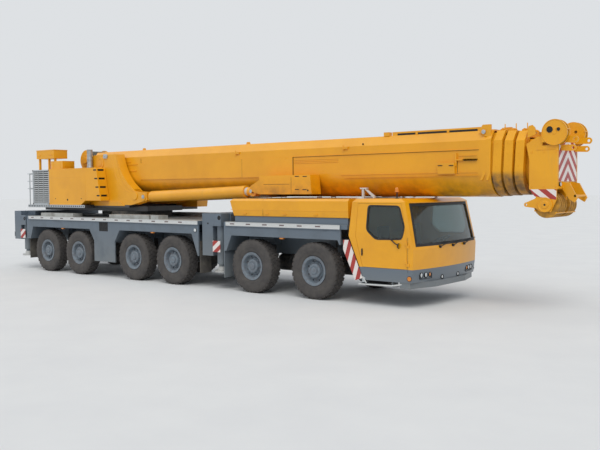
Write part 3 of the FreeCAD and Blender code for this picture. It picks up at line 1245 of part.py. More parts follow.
def build_head():
    """The innermost section with the boom head: its side discs, lower cheeks and lugs."""
    half, low, high = section_sizes(4)
    back = collar_front(3) + size.head_gap
    front = back + size.head_long
    tip = front + size.tip_long
    wide = size.head_half
    floor, roof = size.head_low, size.head_high
    top_spot = (front - size.top_axle_in, size.top_axle_z)
    low_spot = (front - size.low_axle_in, size.low_axle_z)
    tube = boom_tube("section_tube_4", size.first_nest + size.nest_step * 4,
                     back + size.head_wall, half, low, high, size.boom_wall)
    block = prism("head_block", "xz",
                  [(back, floor), (back, floor + size.head_neck_low),
                   (back - size.head_neck, floor + size.head_neck_high),
                   (back + size.head_slope, roof), (front, roof), (front, floor)], -wide, wide)
    hollow = box("head_hollow", (back + size.head_wall, front - size.head_wall),
                 (size.head_wall - wide, wide - size.head_wall),
                 (floor - lap, top_spot[1] - size.sheave_radius - size.head_wall))
    clear = size.sheave_radius + size.sheave_lip
    disc_out, disc_in = size.disc_outer - size.disc_wide, size.disc_inner + size.disc_wide
    slot = box("sheave_slot", (top_spot[0] - clear, front + lap), (disc_in, disc_out),
               (top_spot[1] - clear, roof + lap))
    opened = cut("head_open", block, hollow, slot, mirrored("sheave_slot_twin", slot))
    sides = []
    for word, y in (("outer", disc_out), ("inner", size.disc_inner)):
        ends = (y, y + size.disc_wide)
        disc = rod(f"disc_{word}", "y", ends, top_spot, size.disc_radius)
        skirt = box(f"disc_skirt_{word}",
                    (top_spot[0] - size.disc_radius, top_spot[0] + size.disc_skirt), ends,
                    (top_spot[1] - size.disc_skirt_drop, top_spot[1]))
        sides.append(fuse(f"side_disc_{word}", disc, skirt))
    through = (size.disc_inner - lap, size.disc_outer + lap)
    holes = [rod(f"disc_hole_{word}", "y", through,
                 (top_spot[0] + x, top_spot[1] + size.disc_hole_up), radius)
             for word, x, radius in (("large", -size.disc_hole_back, size.disc_hole),
                                     ("small", size.disc_hole_ahead, size.disc_small_hole))]
    axle = rod("top_axle", "y", (size.disc_inner, size.disc_outer + size.axle_lip), top_spot,
               size.axle_radius)
    discs = fuse("discs_and_axle", cut("discs_drilled", fuse("discs", *sides), *holes), axle)
    cheek_outline = [(back + 15, floor + 20), (back + 155, floor - 180),
                     (back + 155, size.cheek_low), (low_spot[0] - 100, size.cheek_low - 60),
                     (low_spot[0] + 115, size.cheek_low - 60), (front - 20, floor - 210),
                     (front - 20, floor + 20)]
    thick = size.cheek_thick
    cheeks = [prism(f"lower_cheek_{word}", "xz", cheek_outline, y, y + thick)
              for word, y in (("side", wide - thick), ("middle", -thick / 2))]
    low_disc = rod("low_disc", "y", (wide - lap, wide + size.low_disc_wide), low_spot,
                   size.low_disc_radius)
    low_axle = rod("low_axle", "y", (-wide, wide), low_spot, size.axle_radius)
    plate_y = (size.lug_y, size.lug_y + size.cheek_thick)
    lugs = [eye_plate("ring_lug_high", front - lap, 3540, 3660, (tip - 66, as_size(3600)), 66, 32,
                      plate_y),
            eye_plate("ring_lug_low", front - lap, 3380, 3500, (tip - 110, as_size(3430)), 62,
                      30, plate_y),
            eye_plate("rope_anchor", back + 160, size.cheek_low + 10, floor - 176,
                      (back - 60, low_spot[1]), 46, 20, (wide - thick, wide))]
    hook = prism("hook_plate", "xz",
                 [(front - lap, size.hook_high), (front + 150, size.hook_high - 30),
                  (tip - 50, size.hook_tip + 90), (tip - 105, size.hook_tip),
                  (tip - 220, size.hook_tip + 70), (front - lap, floor)],
                 size.hook_y, size.hook_y + size.hook_thick)
    side = fuse("head_side", discs, cheeks[0], low_disc, *lugs, hook)
    whole = fuse("head_whole", opened, side, mirrored("head_side_twin", side), cheeks[1],
                 low_axle, tube)
    node("boom_section_4_with_head", whole)
    pulley = sheave("low_pulley", size.low_sheave_radius)
    guide = sheave("top_pulley", size.sheave_radius)
    sheaves = []
    for step in range(4):
        near = size.sheave_first + size.sheave_pitch * step
        for side_word, y in (("left", near), ("right", -near - size.sheave_wide)):
            sheaves.append(placed_copy(f"low_sheave_{side_word}_{step}", pulley, low_spot, y))
    inside = (disc_in + disc_out - size.sheave_wide) / 2
    for side_word, y in (("left", inside), ("right", -inside - size.sheave_wide)):
        sheaves.append(placed_copy(f"top_sheave_{side_word}", guide, top_spot, y))
    node("head_sheaves", group("sheaves", *sheaves))


def sheave(name, radius):
    """One rope sheave about the Y axis, bored for its axle, with its groove."""
    bore = size.axle_radius + size.bore_gap
    wide, lip = size.sheave_wide, size.sheave_lip
    return turned(name, [(as_size(0), bore), (as_size(0), radius), (lip, radius),
                         (wide / 2, radius - size.groove_deep), (wide - lip, radius),
                         (wide, radius), (wide, bore)])


def placed_copy(name, body, spot, y):
    copy = group(name, body)
    place(copy, spot[0], y, spot[1])
    return copy


build_chassis_frame()
build_deck()
build_axles()
masters = build_wheel_masters()
for word, x in AXLES:
    for side, sign in SIDES:
        if word in STEERED:
            build_knuckle(side, sign, word, x)
        build_wheel(side, sign, word, x, masters)
build_outriggers()
build_hood()
build_cab()
build_cab_interior()
build_bumper()
build_boom_rest()
build_slewing_ring()
build_superstructure()
build_houses()
build_tail()
build_crane_cab()
build_cylinders()
build_boom_base()
build_sections()
build_head()
doc.recompute()

for thing in doc.Objects:
    if "Invalid" in thing.State or "Error" in thing.State:
        raise RuntimeError(f"{thing.Label} failed: {thing.State}")
os.makedirs("parts", exist_ok=True)
for thing in nodes:
    shape = thing.Shape
    if shape.isNull() or not shape.isValid() or not shape.Solids:
        raise RuntimeError(f"{thing.Label} has no valid solid")
for thing in nodes:
    thing.Shape.exportStep(f"parts/{thing.Label}.step")
print(len(nodes), "sub-parts written")
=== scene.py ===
"""The look of a six-axle mobile crane: paint, glass, tyres and fittings around its CAD frame."""
import math

import bmesh
import bpy
from mathutils import Matrix, Vector


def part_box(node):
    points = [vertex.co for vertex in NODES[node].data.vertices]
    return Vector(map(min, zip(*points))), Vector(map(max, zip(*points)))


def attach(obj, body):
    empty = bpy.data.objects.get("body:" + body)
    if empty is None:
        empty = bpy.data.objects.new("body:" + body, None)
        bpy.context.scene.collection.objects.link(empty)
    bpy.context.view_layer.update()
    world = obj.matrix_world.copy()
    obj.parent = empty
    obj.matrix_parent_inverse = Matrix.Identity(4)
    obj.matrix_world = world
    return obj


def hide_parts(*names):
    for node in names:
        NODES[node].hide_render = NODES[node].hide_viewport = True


bl_info = {
    "name": "Mobile crane looks",
    "version": (1, 0, 0),
    "blender": (4, 5, 0),
    "location": "View3D > Sidebar > Crane",
    "description": "Finishes and fittings for a six-axle mobile crane",
    "category": "Object",
}

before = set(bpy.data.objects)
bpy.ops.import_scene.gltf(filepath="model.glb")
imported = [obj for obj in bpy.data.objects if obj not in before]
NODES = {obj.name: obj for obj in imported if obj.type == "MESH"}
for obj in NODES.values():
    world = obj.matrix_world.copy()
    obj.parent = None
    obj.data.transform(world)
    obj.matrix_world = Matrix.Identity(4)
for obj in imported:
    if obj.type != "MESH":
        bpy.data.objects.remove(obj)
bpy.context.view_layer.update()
MM = 0.001
SIDES = (("right", -1), ("left", 1))
AXLES = ("one", "two", "three", "four", "five", "six")


def hex_to_linear(code):
    """A sRGB hex colour as the linear colour that the shader takes."""
    channels = [int(code[start:start + 2], 16) / 255 for start in (1, 3, 5)]
    linear = [c / 12.92 if c <= 0.04045 else ((c + 0.055) / 1.055) ** 2.4 for c in channels]
    return (*linear, 1.0)


def colour_property(name, code, words):
    return bpy.props.FloatVectorProperty(
        name=name, description=words, subtype="COLOR", size=4, min=0, max=1,
        default=hex_to_linear(code))


class CraneColours(bpy.types.PropertyGroup):
    """The colours that a fleet would change."""
    body: colour_property("Body paint", "#E8A30C", "Amber enamel of boom and cabs")
    body_faded: colour_property("Faded body paint", "#D9950E", "The same enamel under dust")
    chassis: colour_property("Chassis paint", "#5F6C79", "Blue-grey enamel of the carrier")
    chassis_dust: colour_property("Chassis dust", "#7D7F7C", "Road dust on the grey enamel")
    rubber: colour_property("Tyre rubber", "#3B393A", "Worn tyre rubber")
    rubber_dust: colour_property("Tyre dust", "#585450", "Dry dust on the side walls")
    stripe_red: colour_property("Stripe red", "#A93A34", "Reflective sheet, red")
    stripe_white: colour_property("Stripe white", "#E6DEDA", "Reflective sheet, white")


class CraneSizes(bpy.types.PropertyGroup):
    """Sizes of what the scene adds."""
    tread_lugs: bpy.props.IntProperty(
        name="Tread lugs", description="Lugs in each row of a tyre's tread", default=34,
        min=12, max=60)
    wheel_nuts: bpy.props.IntProperty(
        name="Wheel nuts", description="Nuts on each wheel's bolt circle", default=10, min=5,
        max=20)
    stripe_pitch: bpy.props.FloatProperty(
        name="Stripe pitch", description="Width of one red and one white stripe",
        default=0.2134, min=0.1, max=0.6, unit="LENGTH")
    floor_size: bpy.props.FloatProperty(
        name="Floor size", description="Side of the studio floor", default=400.0,
        min=50, max=1000, unit="LENGTH")


def colours():
    return bpy.context.scene.crane_colours


def sizes():
    return bpy.context.scene.crane_sizes


# Materials

def add_node(tree, kind, inputs=None, **settings):
    """One node with its settings; inputs holds values or the sockets to link from."""
    made = tree.nodes.new(kind)
    for name, value in settings.items():
        setattr(made, name, value)
    for name, source in (inputs or {}).items():
        if isinstance(source, bpy.types.NodeSocket):
            tree.links.new(source, made.inputs[name])
        else:
            made.inputs[name].default_value = source
    return made


def new_material(name):
    """An empty node material with its surface shader."""
    material = bpy.data.materials.new(name)
    material.use_nodes = True
    tree = material.node_tree
    tree.nodes.clear()
    surface = add_node(tree, "ShaderNodeBsdfPrincipled")
    add_node(tree, "ShaderNodeOutputMaterial", {"Surface": surface.outputs[0]})
    return material, tree, surface


def known(build):
    """Builds a material once and hands the same one out again."""
    kept = {}

    def fetch():
        if build.__name__ not in kept:
            kept[build.__name__] = build()
        return kept[build.__name__]
    return fetch


def blend_colour(tree, amount, first, second):
    """Two colours mixed by an amount from 0 to 1; each is a value or a socket."""
    mix = add_node(tree, "ShaderNodeMix", data_type="RGBA")
    for number, source in ((0, amount), (6, first), (7, second)):
        if isinstance(source, bpy.types.NodeSocket):
            tree.links.new(source, mix.inputs[number])
        else:
            mix.inputs[number].default_value = source
    return mix.outputs[2]


def cloud_amount(tree, place, scale_mm, low, high, detail=5.0):
    """Soft patches of a real size, from 0 to 1."""
    cloud = add_node(tree, "ShaderNodeTexNoise", {
        "Vector": place, "Scale": 1 / (scale_mm * MM), "Detail": detail, "Roughness": 0.6})
    return add_node(tree, "ShaderNodeMapRange", {
        "Value": cloud.outputs[0], "From Min": low, "From Max": high}).outputs[0]


def low_dust_and_painted_shade(tree, place, bottom, top, most):
    """A mask that thins out with height, from a low edge up: road dust on the carrier's paint,
    painted shade under the boom and its collars.
    """
    height = add_node(tree, "ShaderNodeSeparateXYZ", {"Vector": place}).outputs[2]
    return add_node(tree, "ShaderNodeMapRange", {
        "Value": height, "From Min": bottom, "From Max": top, "To Min": most,
        "To Max": 0.0}).outputs[0]


def grain_bump(tree, place, scale_mm, depth_mm, strength=1.0):
    """A fine surface grain of a real size and depth."""
    grain = add_node(tree, "ShaderNodeTexNoise", {
        "Vector": place, "Scale": 1 / (scale_mm * MM), "Detail": 3.0})
    return add_node(tree, "ShaderNodeBump", {
        "Height": grain.outputs[0], "Distance": depth_mm * MM,
        "Strength": strength}).outputs[0]


def object_place(tree):
    return add_node(tree, "ShaderNodeTexCoord").outputs["Object"]


def enamel(name, clean, faded, dust_edge, roughness=0.36):
    """Sprayed two-coat enamel on steel: even gloss, slightly chalked, dusty low down."""
    material, tree, surface = new_material(name)
    place = object_place(tree)
    patches = cloud_amount(tree, place, 900, 0.40, 0.78)
    colour = blend_colour(tree, patches, clean, faded)
    streaks = add_node(tree, "ShaderNodeMapping", {"Vector": place,
                                                   "Scale": (2.2, 2.2, 0.35)}).outputs[0]
    runs = cloud_amount(tree, streaks, 420, 0.58, 0.82)
    bottom, top, most, dust = dust_edge
    settled = low_dust_and_painted_shade(tree, place, bottom, top, most)
    worn = add_node(tree, "ShaderNodeMath", {0: runs, 1: 0.28}, operation="MULTIPLY")
    amount = add_node(tree, "ShaderNodeMath", {0: worn.outputs[0], 1: settled},
                      operation="ADD", use_clamp=True)
    colour = blend_colour(tree, amount.outputs[0], colour, dust)
    tree.links.new(colour, surface.inputs["Base Color"])
    sheen = add_node(tree, "ShaderNodeMapRange", {
        "Value": patches, "To Min": roughness, "To Max": roughness + 0.16})
    tree.links.new(sheen.outputs[0], surface.inputs["Roughness"])
    surface.inputs["Coat Weight"].default_value = 0.2
    surface.inputs["Coat Roughness"].default_value = 0.25
    tree.links.new(grain_bump(tree, place, 26, 0.35, 0.25), surface.inputs["Normal"])
    return material


@known
def body_enamel():
    """Amber enamel: warm, glossy, a little chalky on top."""
    return enamel("body_enamel", tuple(colours().body), tuple(colours().body_faded),
                  (1.9, 2.6, 0.0, hex_to_linear("#8A7A58")))


@known
def cab_enamel():
    """The same amber enamel above a grey skirt, with dust along the lower edge."""
    material, tree, surface = new_material("cab_enamel")
    place = object_place(tree)
    patches = cloud_amount(tree, place, 700, 0.42, 0.8)
    amber = blend_colour(tree, patches, tuple(colours().body), tuple(colours().body_faded))
    height = add_node(tree, "ShaderNodeSeparateXYZ", {"Vector": place}).outputs[2]
    skirt_top = 0.87
    above = add_node(tree, "ShaderNodeMath", {0: height, 1: skirt_top},
                     operation="GREATER_THAN").outputs[0]
    grey = blend_colour(tree, low_dust_and_painted_shade(tree, place, 0.4, 1.0, 0.5),
                        tuple(colours().chassis), tuple(colours().chassis_dust))
    tree.links.new(blend_colour(tree, above, grey, amber), surface.inputs["Base Color"])
    surface.inputs["Roughness"].default_value = 0.34
    surface.inputs["Coat Weight"].default_value = 0.25
    surface.inputs["Coat Roughness"].default_value = 0.15
    tree.links.new(grain_bump(tree, place, 30, 0.3, 0.2), surface.inputs["Normal"])
    return material


@known
def hood_enamel():
    """Amber enamel on the hood's lid over a grey plinth."""
    material, tree, surface = new_material("hood_enamel")
    place = object_place(tree)
    patches = cloud_amount(tree, place, 800, 0.42, 0.8)
    amber = blend_colour(tree, patches, tuple(colours().body), tuple(colours().body_faded))
    height = add_node(tree, "ShaderNodeSeparateXYZ", {"Vector": place}).outputs[2]
    lid_low = 1.96
    above = add_node(tree, "ShaderNodeMath", {0: height, 1: lid_low},
                     operation="GREATER_THAN").outputs[0]
    tree.links.new(blend_colour(tree, above, tuple(colours().chassis), amber),
                   surface.inputs["Base Color"])
    surface.inputs["Roughness"].default_value = 0.36
    surface.inputs["Coat Weight"].default_value = 0.2
    surface.inputs["Coat Roughness"].default_value = 0.18
    tree.links.new(grain_bump(tree, place, 26, 0.3, 0.25), surface.inputs["Normal"])
    return material


@known
def chassis_enamel():
    """Blue-grey chassis enamel, duller than the body's, with road dust low down."""
    return enamel("chassis_enamel", tuple(colours().chassis), hex_to_linear("#5A656F"),
                  (0.45, 1.75, 0.55, tuple(colours().chassis_dust)), roughness=0.46)


@known
def axle_paint():
    """Black-grey axle paint under dry road dirt: matt and uneven."""
    material, tree, surface = new_material("axle_paint")
    place = object_place(tree)
    dirt = cloud_amount(tree, place, 160, 0.36, 0.7)
    tree.links.new(blend_colour(tree, dirt, hex_to_linear("#2E3134"),
                                hex_to_linear("#5B554C")), surface.inputs["Base Color"])
    surface.inputs["Roughness"].default_value = 0.78
    tree.links.new(grain_bump(tree, place, 14, 1.2, 0.6), surface.inputs["Normal"])
    return material


@known
def tyre_rubber():
    """Vulcanised tyre rubber, brown-grey with dry dust, darker where the tread wears clean."""
    material, tree, surface = new_material("tyre_rubber")
    place = object_place(tree)
    dust = cloud_amount(tree, place, 210, 0.22, 0.86, 3.0)
    colour = blend_colour(tree, dust, tuple(colours().rubber), tuple(colours().rubber_dust))
    tree.links.new(colour, surface.inputs["Base Color"])
    surface.inputs["Roughness"].default_value = 0.86
    tree.links.new(grain_bump(tree, place, 7, 0.8, 0.5), surface.inputs["Normal"])
    return material


@known
def rim_enamel():
    """Grey enamel on pressed steel rims, brushed with dust."""
    material, tree, surface = new_material("rim_enamel")
    place = object_place(tree)
    dust = cloud_amount(tree, place, 90, 0.40, 0.72)
    tree.links.new(blend_colour(tree, dust, hex_to_linear("#6F7B85"),
                                hex_to_linear("#63646A")), surface.inputs["Base Color"])
    surface.inputs["Roughness"].default_value = 0.5
    tree.links.new(grain_bump(tree, place, 9, 0.3, 0.3), surface.inputs["Normal"])
    return material


@known
def mill_aluminium():
    """Rolled aluminium sheet: pale, brushed along its length, with dull wear patches."""
    material, tree, surface = new_material("mill_aluminium")
    place = object_place(tree)
    brushed = add_node(tree, "ShaderNodeMapping", {"Vector": place,
                                                   "Scale": (0.5, 12.0, 12.0)}).outputs[0]
    lines = cloud_amount(tree, brushed, 60, 0.3, 0.7)
    tree.links.new(blend_colour(tree, lines, hex_to_linear("#DADCDB"),
                                hex_to_linear("#BFC2C2")), surface.inputs["Base Color"])
    surface.inputs["Metallic"].default_value = 0.35
    wear = add_node(tree, "ShaderNodeMapRange", {"Value": lines, "To Min": 0.38,
                                                 "To Max": 0.56})
    tree.links.new(wear.outputs[0], surface.inputs["Roughness"])
    return material


@known
def tread_plate():
    """Aluminium tread plate: raised bars about 25 mm apart, drawn coarse enough to show."""
    material, tree, surface = new_material("tread_plate")
    place = object_place(tree)
    turned = add_node(tree, "ShaderNodeMapping", {
        "Vector": place, "Rotation": (0, 0, math.radians(45)), "Scale": (38, 38, 38)})
    bars = add_node(tree, "ShaderNodeTexChecker", {"Vector": turned.outputs[0], "Scale": 1.0})
    dirt = cloud_amount(tree, place, 320, 0.4, 0.7)
    tree.links.new(blend_colour(tree, dirt, hex_to_linear("#B5B7B4"),
                                hex_to_linear("#8D8B85")), surface.inputs["Base Color"])
    surface.inputs["Metallic"].default_value = 0.4
    surface.inputs["Roughness"].default_value = 0.5
    relief = add_node(tree, "ShaderNodeBump", {
        "Height": bars.outputs["Fac"], "Distance": 2.5 * MM, "Strength": 0.5})
    tree.links.new(relief.outputs[0], surface.inputs["Normal"])
    return material


@known
def deck_finish():
    """The carrier's deck: grey enamel with a sanded walking top."""
    material, tree, surface = new_material("deck_finish")
    place = object_place(tree)
    settled = low_dust_and_painted_shade(tree, place, 0.4, 1.8, 0.55)
    grey = blend_colour(tree, settled, tuple(colours().chassis),
                        tuple(colours().chassis_dust))
    patches = cloud_amount(tree, place, 500, 0.45, 0.75)
    grey = blend_colour(tree, patches, grey, hex_to_linear("#59636C"))
    height = add_node(tree, "ShaderNodeSeparateXYZ", {"Vector": place}).outputs[2]
    top = add_node(tree, "ShaderNodeMath", {0: height, 1: 1.799},
                   operation="GREATER_THAN").outputs[0]
    tree.links.new(blend_colour(tree, top, grey, hex_to_linear("#7C8182")),
                   surface.inputs["Base Color"])
    surface.inputs["Roughness"].default_value = 0.55
    tree.links.new(grain_bump(tree, place, 12, 0.8, 0.35), surface.inputs["Normal"])
    return material


@known
def polished_rod():
    """Hard-chromed cylinder rod, ground and oiled: a clear mirror with a thin oil film."""
    material, tree, surface = new_material("polished_rod")
    place = object_place(tree)
    film = cloud_amount(tree, place, 240, 0.4, 0.8)
    tree.links.new(blend_colour(tree, film, hex_to_linear("#D4D6D8"),
                                hex_to_linear("#B9B4A8")), surface.inputs["Base Color"])
    surface.inputs["Metallic"].default_value = 1.0
    wear = add_node(tree, "ShaderNodeMapRange", {"Value": film, "To Min": 0.12,
                                                 "To Max": 0.3})
    tree.links.new(wear.outputs[0], surface.inputs["Roughness"])
    return material


@known
def tinted_glass():
    """Grey-green safety glass: dark from outside, with the interior just showing."""
    material, tree, surface = new_material("tinted_glass")
    place = object_place(tree)
    smear = cloud_amount(tree, place, 300, 0.5, 0.9)
    tree.links.new(blend_colour(tree, smear, hex_to_linear("#93A5A6"),
                                hex_to_linear("#8A9894")), surface.inputs["Base Color"])
    surface.inputs["Transmission Weight"].default_value = 0.93
    surface.inputs["IOR"].default_value = 1.45
    surface.inputs["Roughness"].default_value = 0.03
    return material


@known
def black_rubber():
    """Extruded EPDM and moulded black plastic: matt, with a slight grey bloom."""
    material, tree, surface = new_material("black_rubber")
    place = object_place(tree)
    bloom = cloud_amount(tree, place, 80, 0.45, 0.8)
    tree.links.new(blend_colour(tree, bloom, hex_to_linear("#1B1C1E"),
                                hex_to_linear("#2C2D2E")), surface.inputs["Base Color"])
    surface.inputs["Roughness"].default_value = 0.62
    tree.links.new(grain_bump(tree, place, 5, 0.2, 0.3), surface.inputs["Normal"])
    return material


@known
def dusty_rubber():
    """Rubber mudflaps, grey-brown under dried road dirt."""
    material, tree, surface = new_material("dusty_rubber")
    place = object_place(tree)
    dirt = cloud_amount(tree, place, 180, 0.3, 0.75)
    tree.links.new(blend_colour(tree, dirt, hex_to_linear("#4A4845"),
                                hex_to_linear("#6C675F")), surface.inputs["Base Color"])
    surface.inputs["Roughness"].default_value = 0.85
    tree.links.new(grain_bump(tree, place, 9, 0.6, 0.4), surface.inputs["Normal"])
    return material


@known
def dark_recess():
    """Near-black: painted shade inside openings and slots and in shadow strips under ledges and
    rails; also the dark seam lines. Faintly mottled.
    """
    material, tree, surface = new_material("dark_recess")
    place = object_place(tree)
    shade_mottle = cloud_amount(tree, place, 70, 0.4, 0.7)
    tree.links.new(blend_colour(tree, shade_mottle, hex_to_linear("#141517"),
                                hex_to_linear("#232426")), surface.inputs["Base Color"])
    surface.inputs["Roughness"].default_value = 0.8
    return material


@known
def exhaust_steel():
    """Aluminised exhaust pipe, heat-dulled and faintly brown."""
    material, tree, surface = new_material("exhaust_steel")
    place = object_place(tree)
    heat = cloud_amount(tree, place, 120, 0.35, 0.7)
    tree.links.new(blend_colour(tree, heat, hex_to_linear("#B3B7BA"),
                                hex_to_linear("#96928E")), surface.inputs["Base Color"])
    surface.inputs["Metallic"].default_value = 0.8
    surface.inputs["Roughness"].default_value = 0.48
    return material


@known
def seat_fabric():
    """Woven seat cloth, threads about 1.5 mm apart, drawn at 6 mm so that they show."""
    material, tree, surface = new_material("seat_fabric")
    place = object_place(tree)
    threads = add_node(tree, "ShaderNodeTexWave", {
        "Vector": place, "Scale": 160.0, "Distortion": 0.6})
    tree.links.new(blend_colour(tree, threads.outputs[1], hex_to_linear("#2B2E33"),
                                hex_to_linear("#474B51")), surface.inputs["Base Color"])
    surface.inputs["Roughness"].default_value = 0.9
    weave = add_node(tree, "ShaderNodeBump", {
        "Height": threads.outputs[1], "Distance": 0.8 * MM, "Strength": 0.6})
    tree.links.new(weave.outputs[0], surface.inputs["Normal"])
    return material


def sheet_colour(name, colour, roughness):
    """Reflective sheeting with its fine honeycomb, drawn at 8 mm so that it shows."""
    material, tree, surface = new_material(name)
    place = object_place(tree)
    cells = add_node(tree, "ShaderNodeTexVoronoi", {"Vector": place, "Scale": 125.0})
    shade = add_node(tree, "ShaderNodeMapRange", {"Value": cells.outputs[0], "To Min": 0.0,
                                                  "To Max": 0.25})
    darker = tuple(part * 0.72 for part in colour[:3]) + (1.0,)
    tree.links.new(blend_colour(tree, shade.outputs[0], colour, darker),
                   surface.inputs["Base Color"])
    surface.inputs["Roughness"].default_value = roughness
    return material


@known
def stripe_red():
    return sheet_colour("stripe_red", tuple(colours().stripe_red), 0.35)


@known
def stripe_white():
    return sheet_colour("stripe_white", tuple(colours().stripe_white), 0.35)


def lens(name, code, glow):
    """A moulded acrylic lamp lens with ribs about 9 mm apart."""
    material, tree, surface = new_material(name)
    place = object_place(tree)
    ribs = add_node(tree, "ShaderNodeTexWave", {"Vector": place, "Scale": 55.0},
                    bands_direction="Z")
    bright = hex_to_linear(code)
    deep = tuple(part * glow for part in bright[:3]) + (1.0,)
    tree.links.new(blend_colour(tree, ribs.outputs[1], deep, bright),
                   surface.inputs["Base Color"])
    surface.inputs["Roughness"].default_value = 0.12
    surface.inputs["Coat Weight"].default_value = 0.6
    relief = add_node(tree, "ShaderNodeBump", {
        "Height": ribs.outputs[1], "Distance": 1.0 * MM, "Strength": 0.5})
    tree.links.new(relief.outputs[0], surface.inputs["Normal"])
    return material


@known
def amber_lens():
    return lens("amber_lens", "#E58A1E", 0.7)


@known
def red_lens():
    return lens("red_lens", "#B3231C", 0.6)


@known
def clear_lens():
    return lens("clear_lens", "#DDE2E4", 0.75)


@known
def reflector_lens():
    return lens("reflector_lens", "#6E5A5C", 0.8)


@known
def wire_rope():
    """Stranded steel rope wound on a drum: bright wires under grey grease."""
    material, tree, surface = new_material("wire_rope")
    place = object_place(tree)
    strands = add_node(tree, "ShaderNodeTexWave", {
        "Vector": place, "Scale": 60.0, "Distortion": 1.2}, bands_direction="DIAGONAL")
    tree.links.new(blend_colour(tree, strands.outputs[1], hex_to_linear("#3A3833"),
                                hex_to_linear("#77736A")), surface.inputs["Base Color"])
    surface.inputs["Metallic"].default_value = 0.5
    surface.inputs["Roughness"].default_value = 0.5
    relief = add_node(tree, "ShaderNodeBump", {
        "Height": strands.outputs[1], "Distance": 3 * MM, "Strength": 0.7})
    tree.links.new(relief.outputs[0], surface.inputs["Normal"])
    return material


@known
def zinc_steel():
    """Zinc-plated steel pins and keepers: pale, faintly blue, dulled in patches."""
    material, tree, surface = new_material("zinc_steel")
    place = object_place(tree)
    spangle = cloud_amount(tree, place, 45, 0.35, 0.7)
    tree.links.new(blend_colour(tree, spangle, hex_to_linear("#C4C9CC"),
                                hex_to_linear("#9EA4A8")), surface.inputs["Base Color"])
    surface.inputs["Metallic"].default_value = 0.6
    surface.inputs["Roughness"].default_value = 0.42
    return material


@known
def dark_steel():
    """Black-painted pipes and hinges, rubbed to grey on their edges."""
    material, tree, surface = new_material("dark_steel")
    place = object_place(tree)
    rubbed = cloud_amount(tree, place, 60, 0.4, 0.75)
    tree.links.new(blend_colour(tree, rubbed, hex_to_linear("#2B2E31"),
                                hex_to_linear("#4A4D4F")), surface.inputs["Base Color"])
    surface.inputs["Roughness"].default_value = 0.45
    return material


@known
def sheave_nylon():
    """Cast nylon sheaves: yellow-brown, with dark grease in their grooves."""
    material, tree, surface = new_material("sheave_nylon")
    place = object_place(tree)
    grease = cloud_amount(tree, place, 90, 0.35, 0.7)
    tree.links.new(blend_colour(tree, grease, hex_to_linear("#C48F2B"),
                                hex_to_linear("#8A6426")), surface.inputs["Base Color"])
    surface.inputs["Roughness"].default_value = 0.5
    tree.links.new(grain_bump(tree, place, 6, 0.3, 0.3), surface.inputs["Normal"])
    return material


@known
def moulded_plastic():
    """Charcoal ABS of the cab's fittings, moulded with a leather grain."""
    material, tree, surface = new_material("moulded_plastic")
    place = object_place(tree)
    tone = cloud_amount(tree, place, 200, 0.4, 0.75)
    tree.links.new(blend_colour(tree, tone, hex_to_linear("#2C2E31"),
                                hex_to_linear("#3A3C3F")), surface.inputs["Base Color"])
    surface.inputs["Roughness"].default_value = 0.6
    tree.links.new(grain_bump(tree, place, 3, 0.15, 0.4), surface.inputs["Normal"])
    return material


# Shapes

TURN_TO = {"x": Matrix.Rotation(math.radians(90), 3, "Y"),
           "y": Matrix.Rotation(math.radians(-90), 3, "X"), "z": Matrix.Identity(3)}
ORDER = {"xy": (0, 1, 2), "xz": (0, 2, 1), "yz": (1, 2, 0)}


def paint(verts, material):
    """Gives every face that these vertices belong to a finish by its number."""
    for face in {face for vert in verts for face in vert.link_faces}:
        face.material_index = material


def add_block(bm, x, y, z, material=0):
    """A block from the low to the high end of each axis."""
    made = bmesh.ops.create_cube(bm, size=1)["verts"]
    span = Vector((x[1] - x[0], y[1] - y[0], z[1] - z[0]))
    middle = Vector((x[0] + x[1], y[0] + y[1], z[0] + z[1])) / 2
    bmesh.ops.scale(bm, vec=span, verts=made)
    bmesh.ops.translate(bm, vec=middle, verts=made)
    paint(made, material)
    return made


def add_drum(bm, axis, along, centre, radius, tip=None, segments=24, material=0, caps=True):
    """A round bar or cone along an axis; centre is its place in the other two."""
    made = bmesh.ops.create_cone(
        bm, segments=segments, radius1=radius, radius2=radius if tip is None else tip,
        depth=along[1] - along[0], cap_ends=caps, cap_tris=False)["verts"]
    bmesh.ops.rotate(bm, matrix=TURN_TO[axis], verts=made)
    spot = dict(zip([letter for letter in "xyz" if letter != axis], centre))
    spot[axis] = (along[0] + along[1]) / 2
    bmesh.ops.translate(bm, vec=Vector((spot["x"], spot["y"], spot["z"])), verts=made)
    paint(made, material)
    return made


def add_ball(bm, centre, radius, flat=(1, 1, 1), material=0):
    made = bmesh.ops.create_uvsphere(bm, u_segments=20, v_segments=10,
                                     radius=radius)["verts"]
    bmesh.ops.scale(bm, vec=Vector(flat), verts=made)
    bmesh.ops.translate(bm, vec=Vector(centre), verts=made)
    paint(made, material)
    return made


def add_plate(bm, plane, outline, low, high, material=0):
    """A flat outline pushed out between two levels of the axis across its plane."""
    first, second, across = ORDER[plane]
    verts = []
    for u, v in outline:
        spot = [0, 0, 0]
        spot[first], spot[second], spot[across] = u, v, low
        verts.append(bm.verts.new(spot))
    face = bm.faces.new(verts)
    grown = bmesh.ops.extrude_face_region(bm, geom=[face])["geom"]
    moved = [part for part in grown if isinstance(part, bmesh.types.BMVert)]
    push = Vector((0, 0, 0))
    push[across] = high - low
    bmesh.ops.translate(bm, vec=push, verts=moved)
    every = verts + moved
    bmesh.ops.recalc_face_normals(bm, faces=list({f for v in every for f in v.link_faces}))
    paint(every, material)
    return every


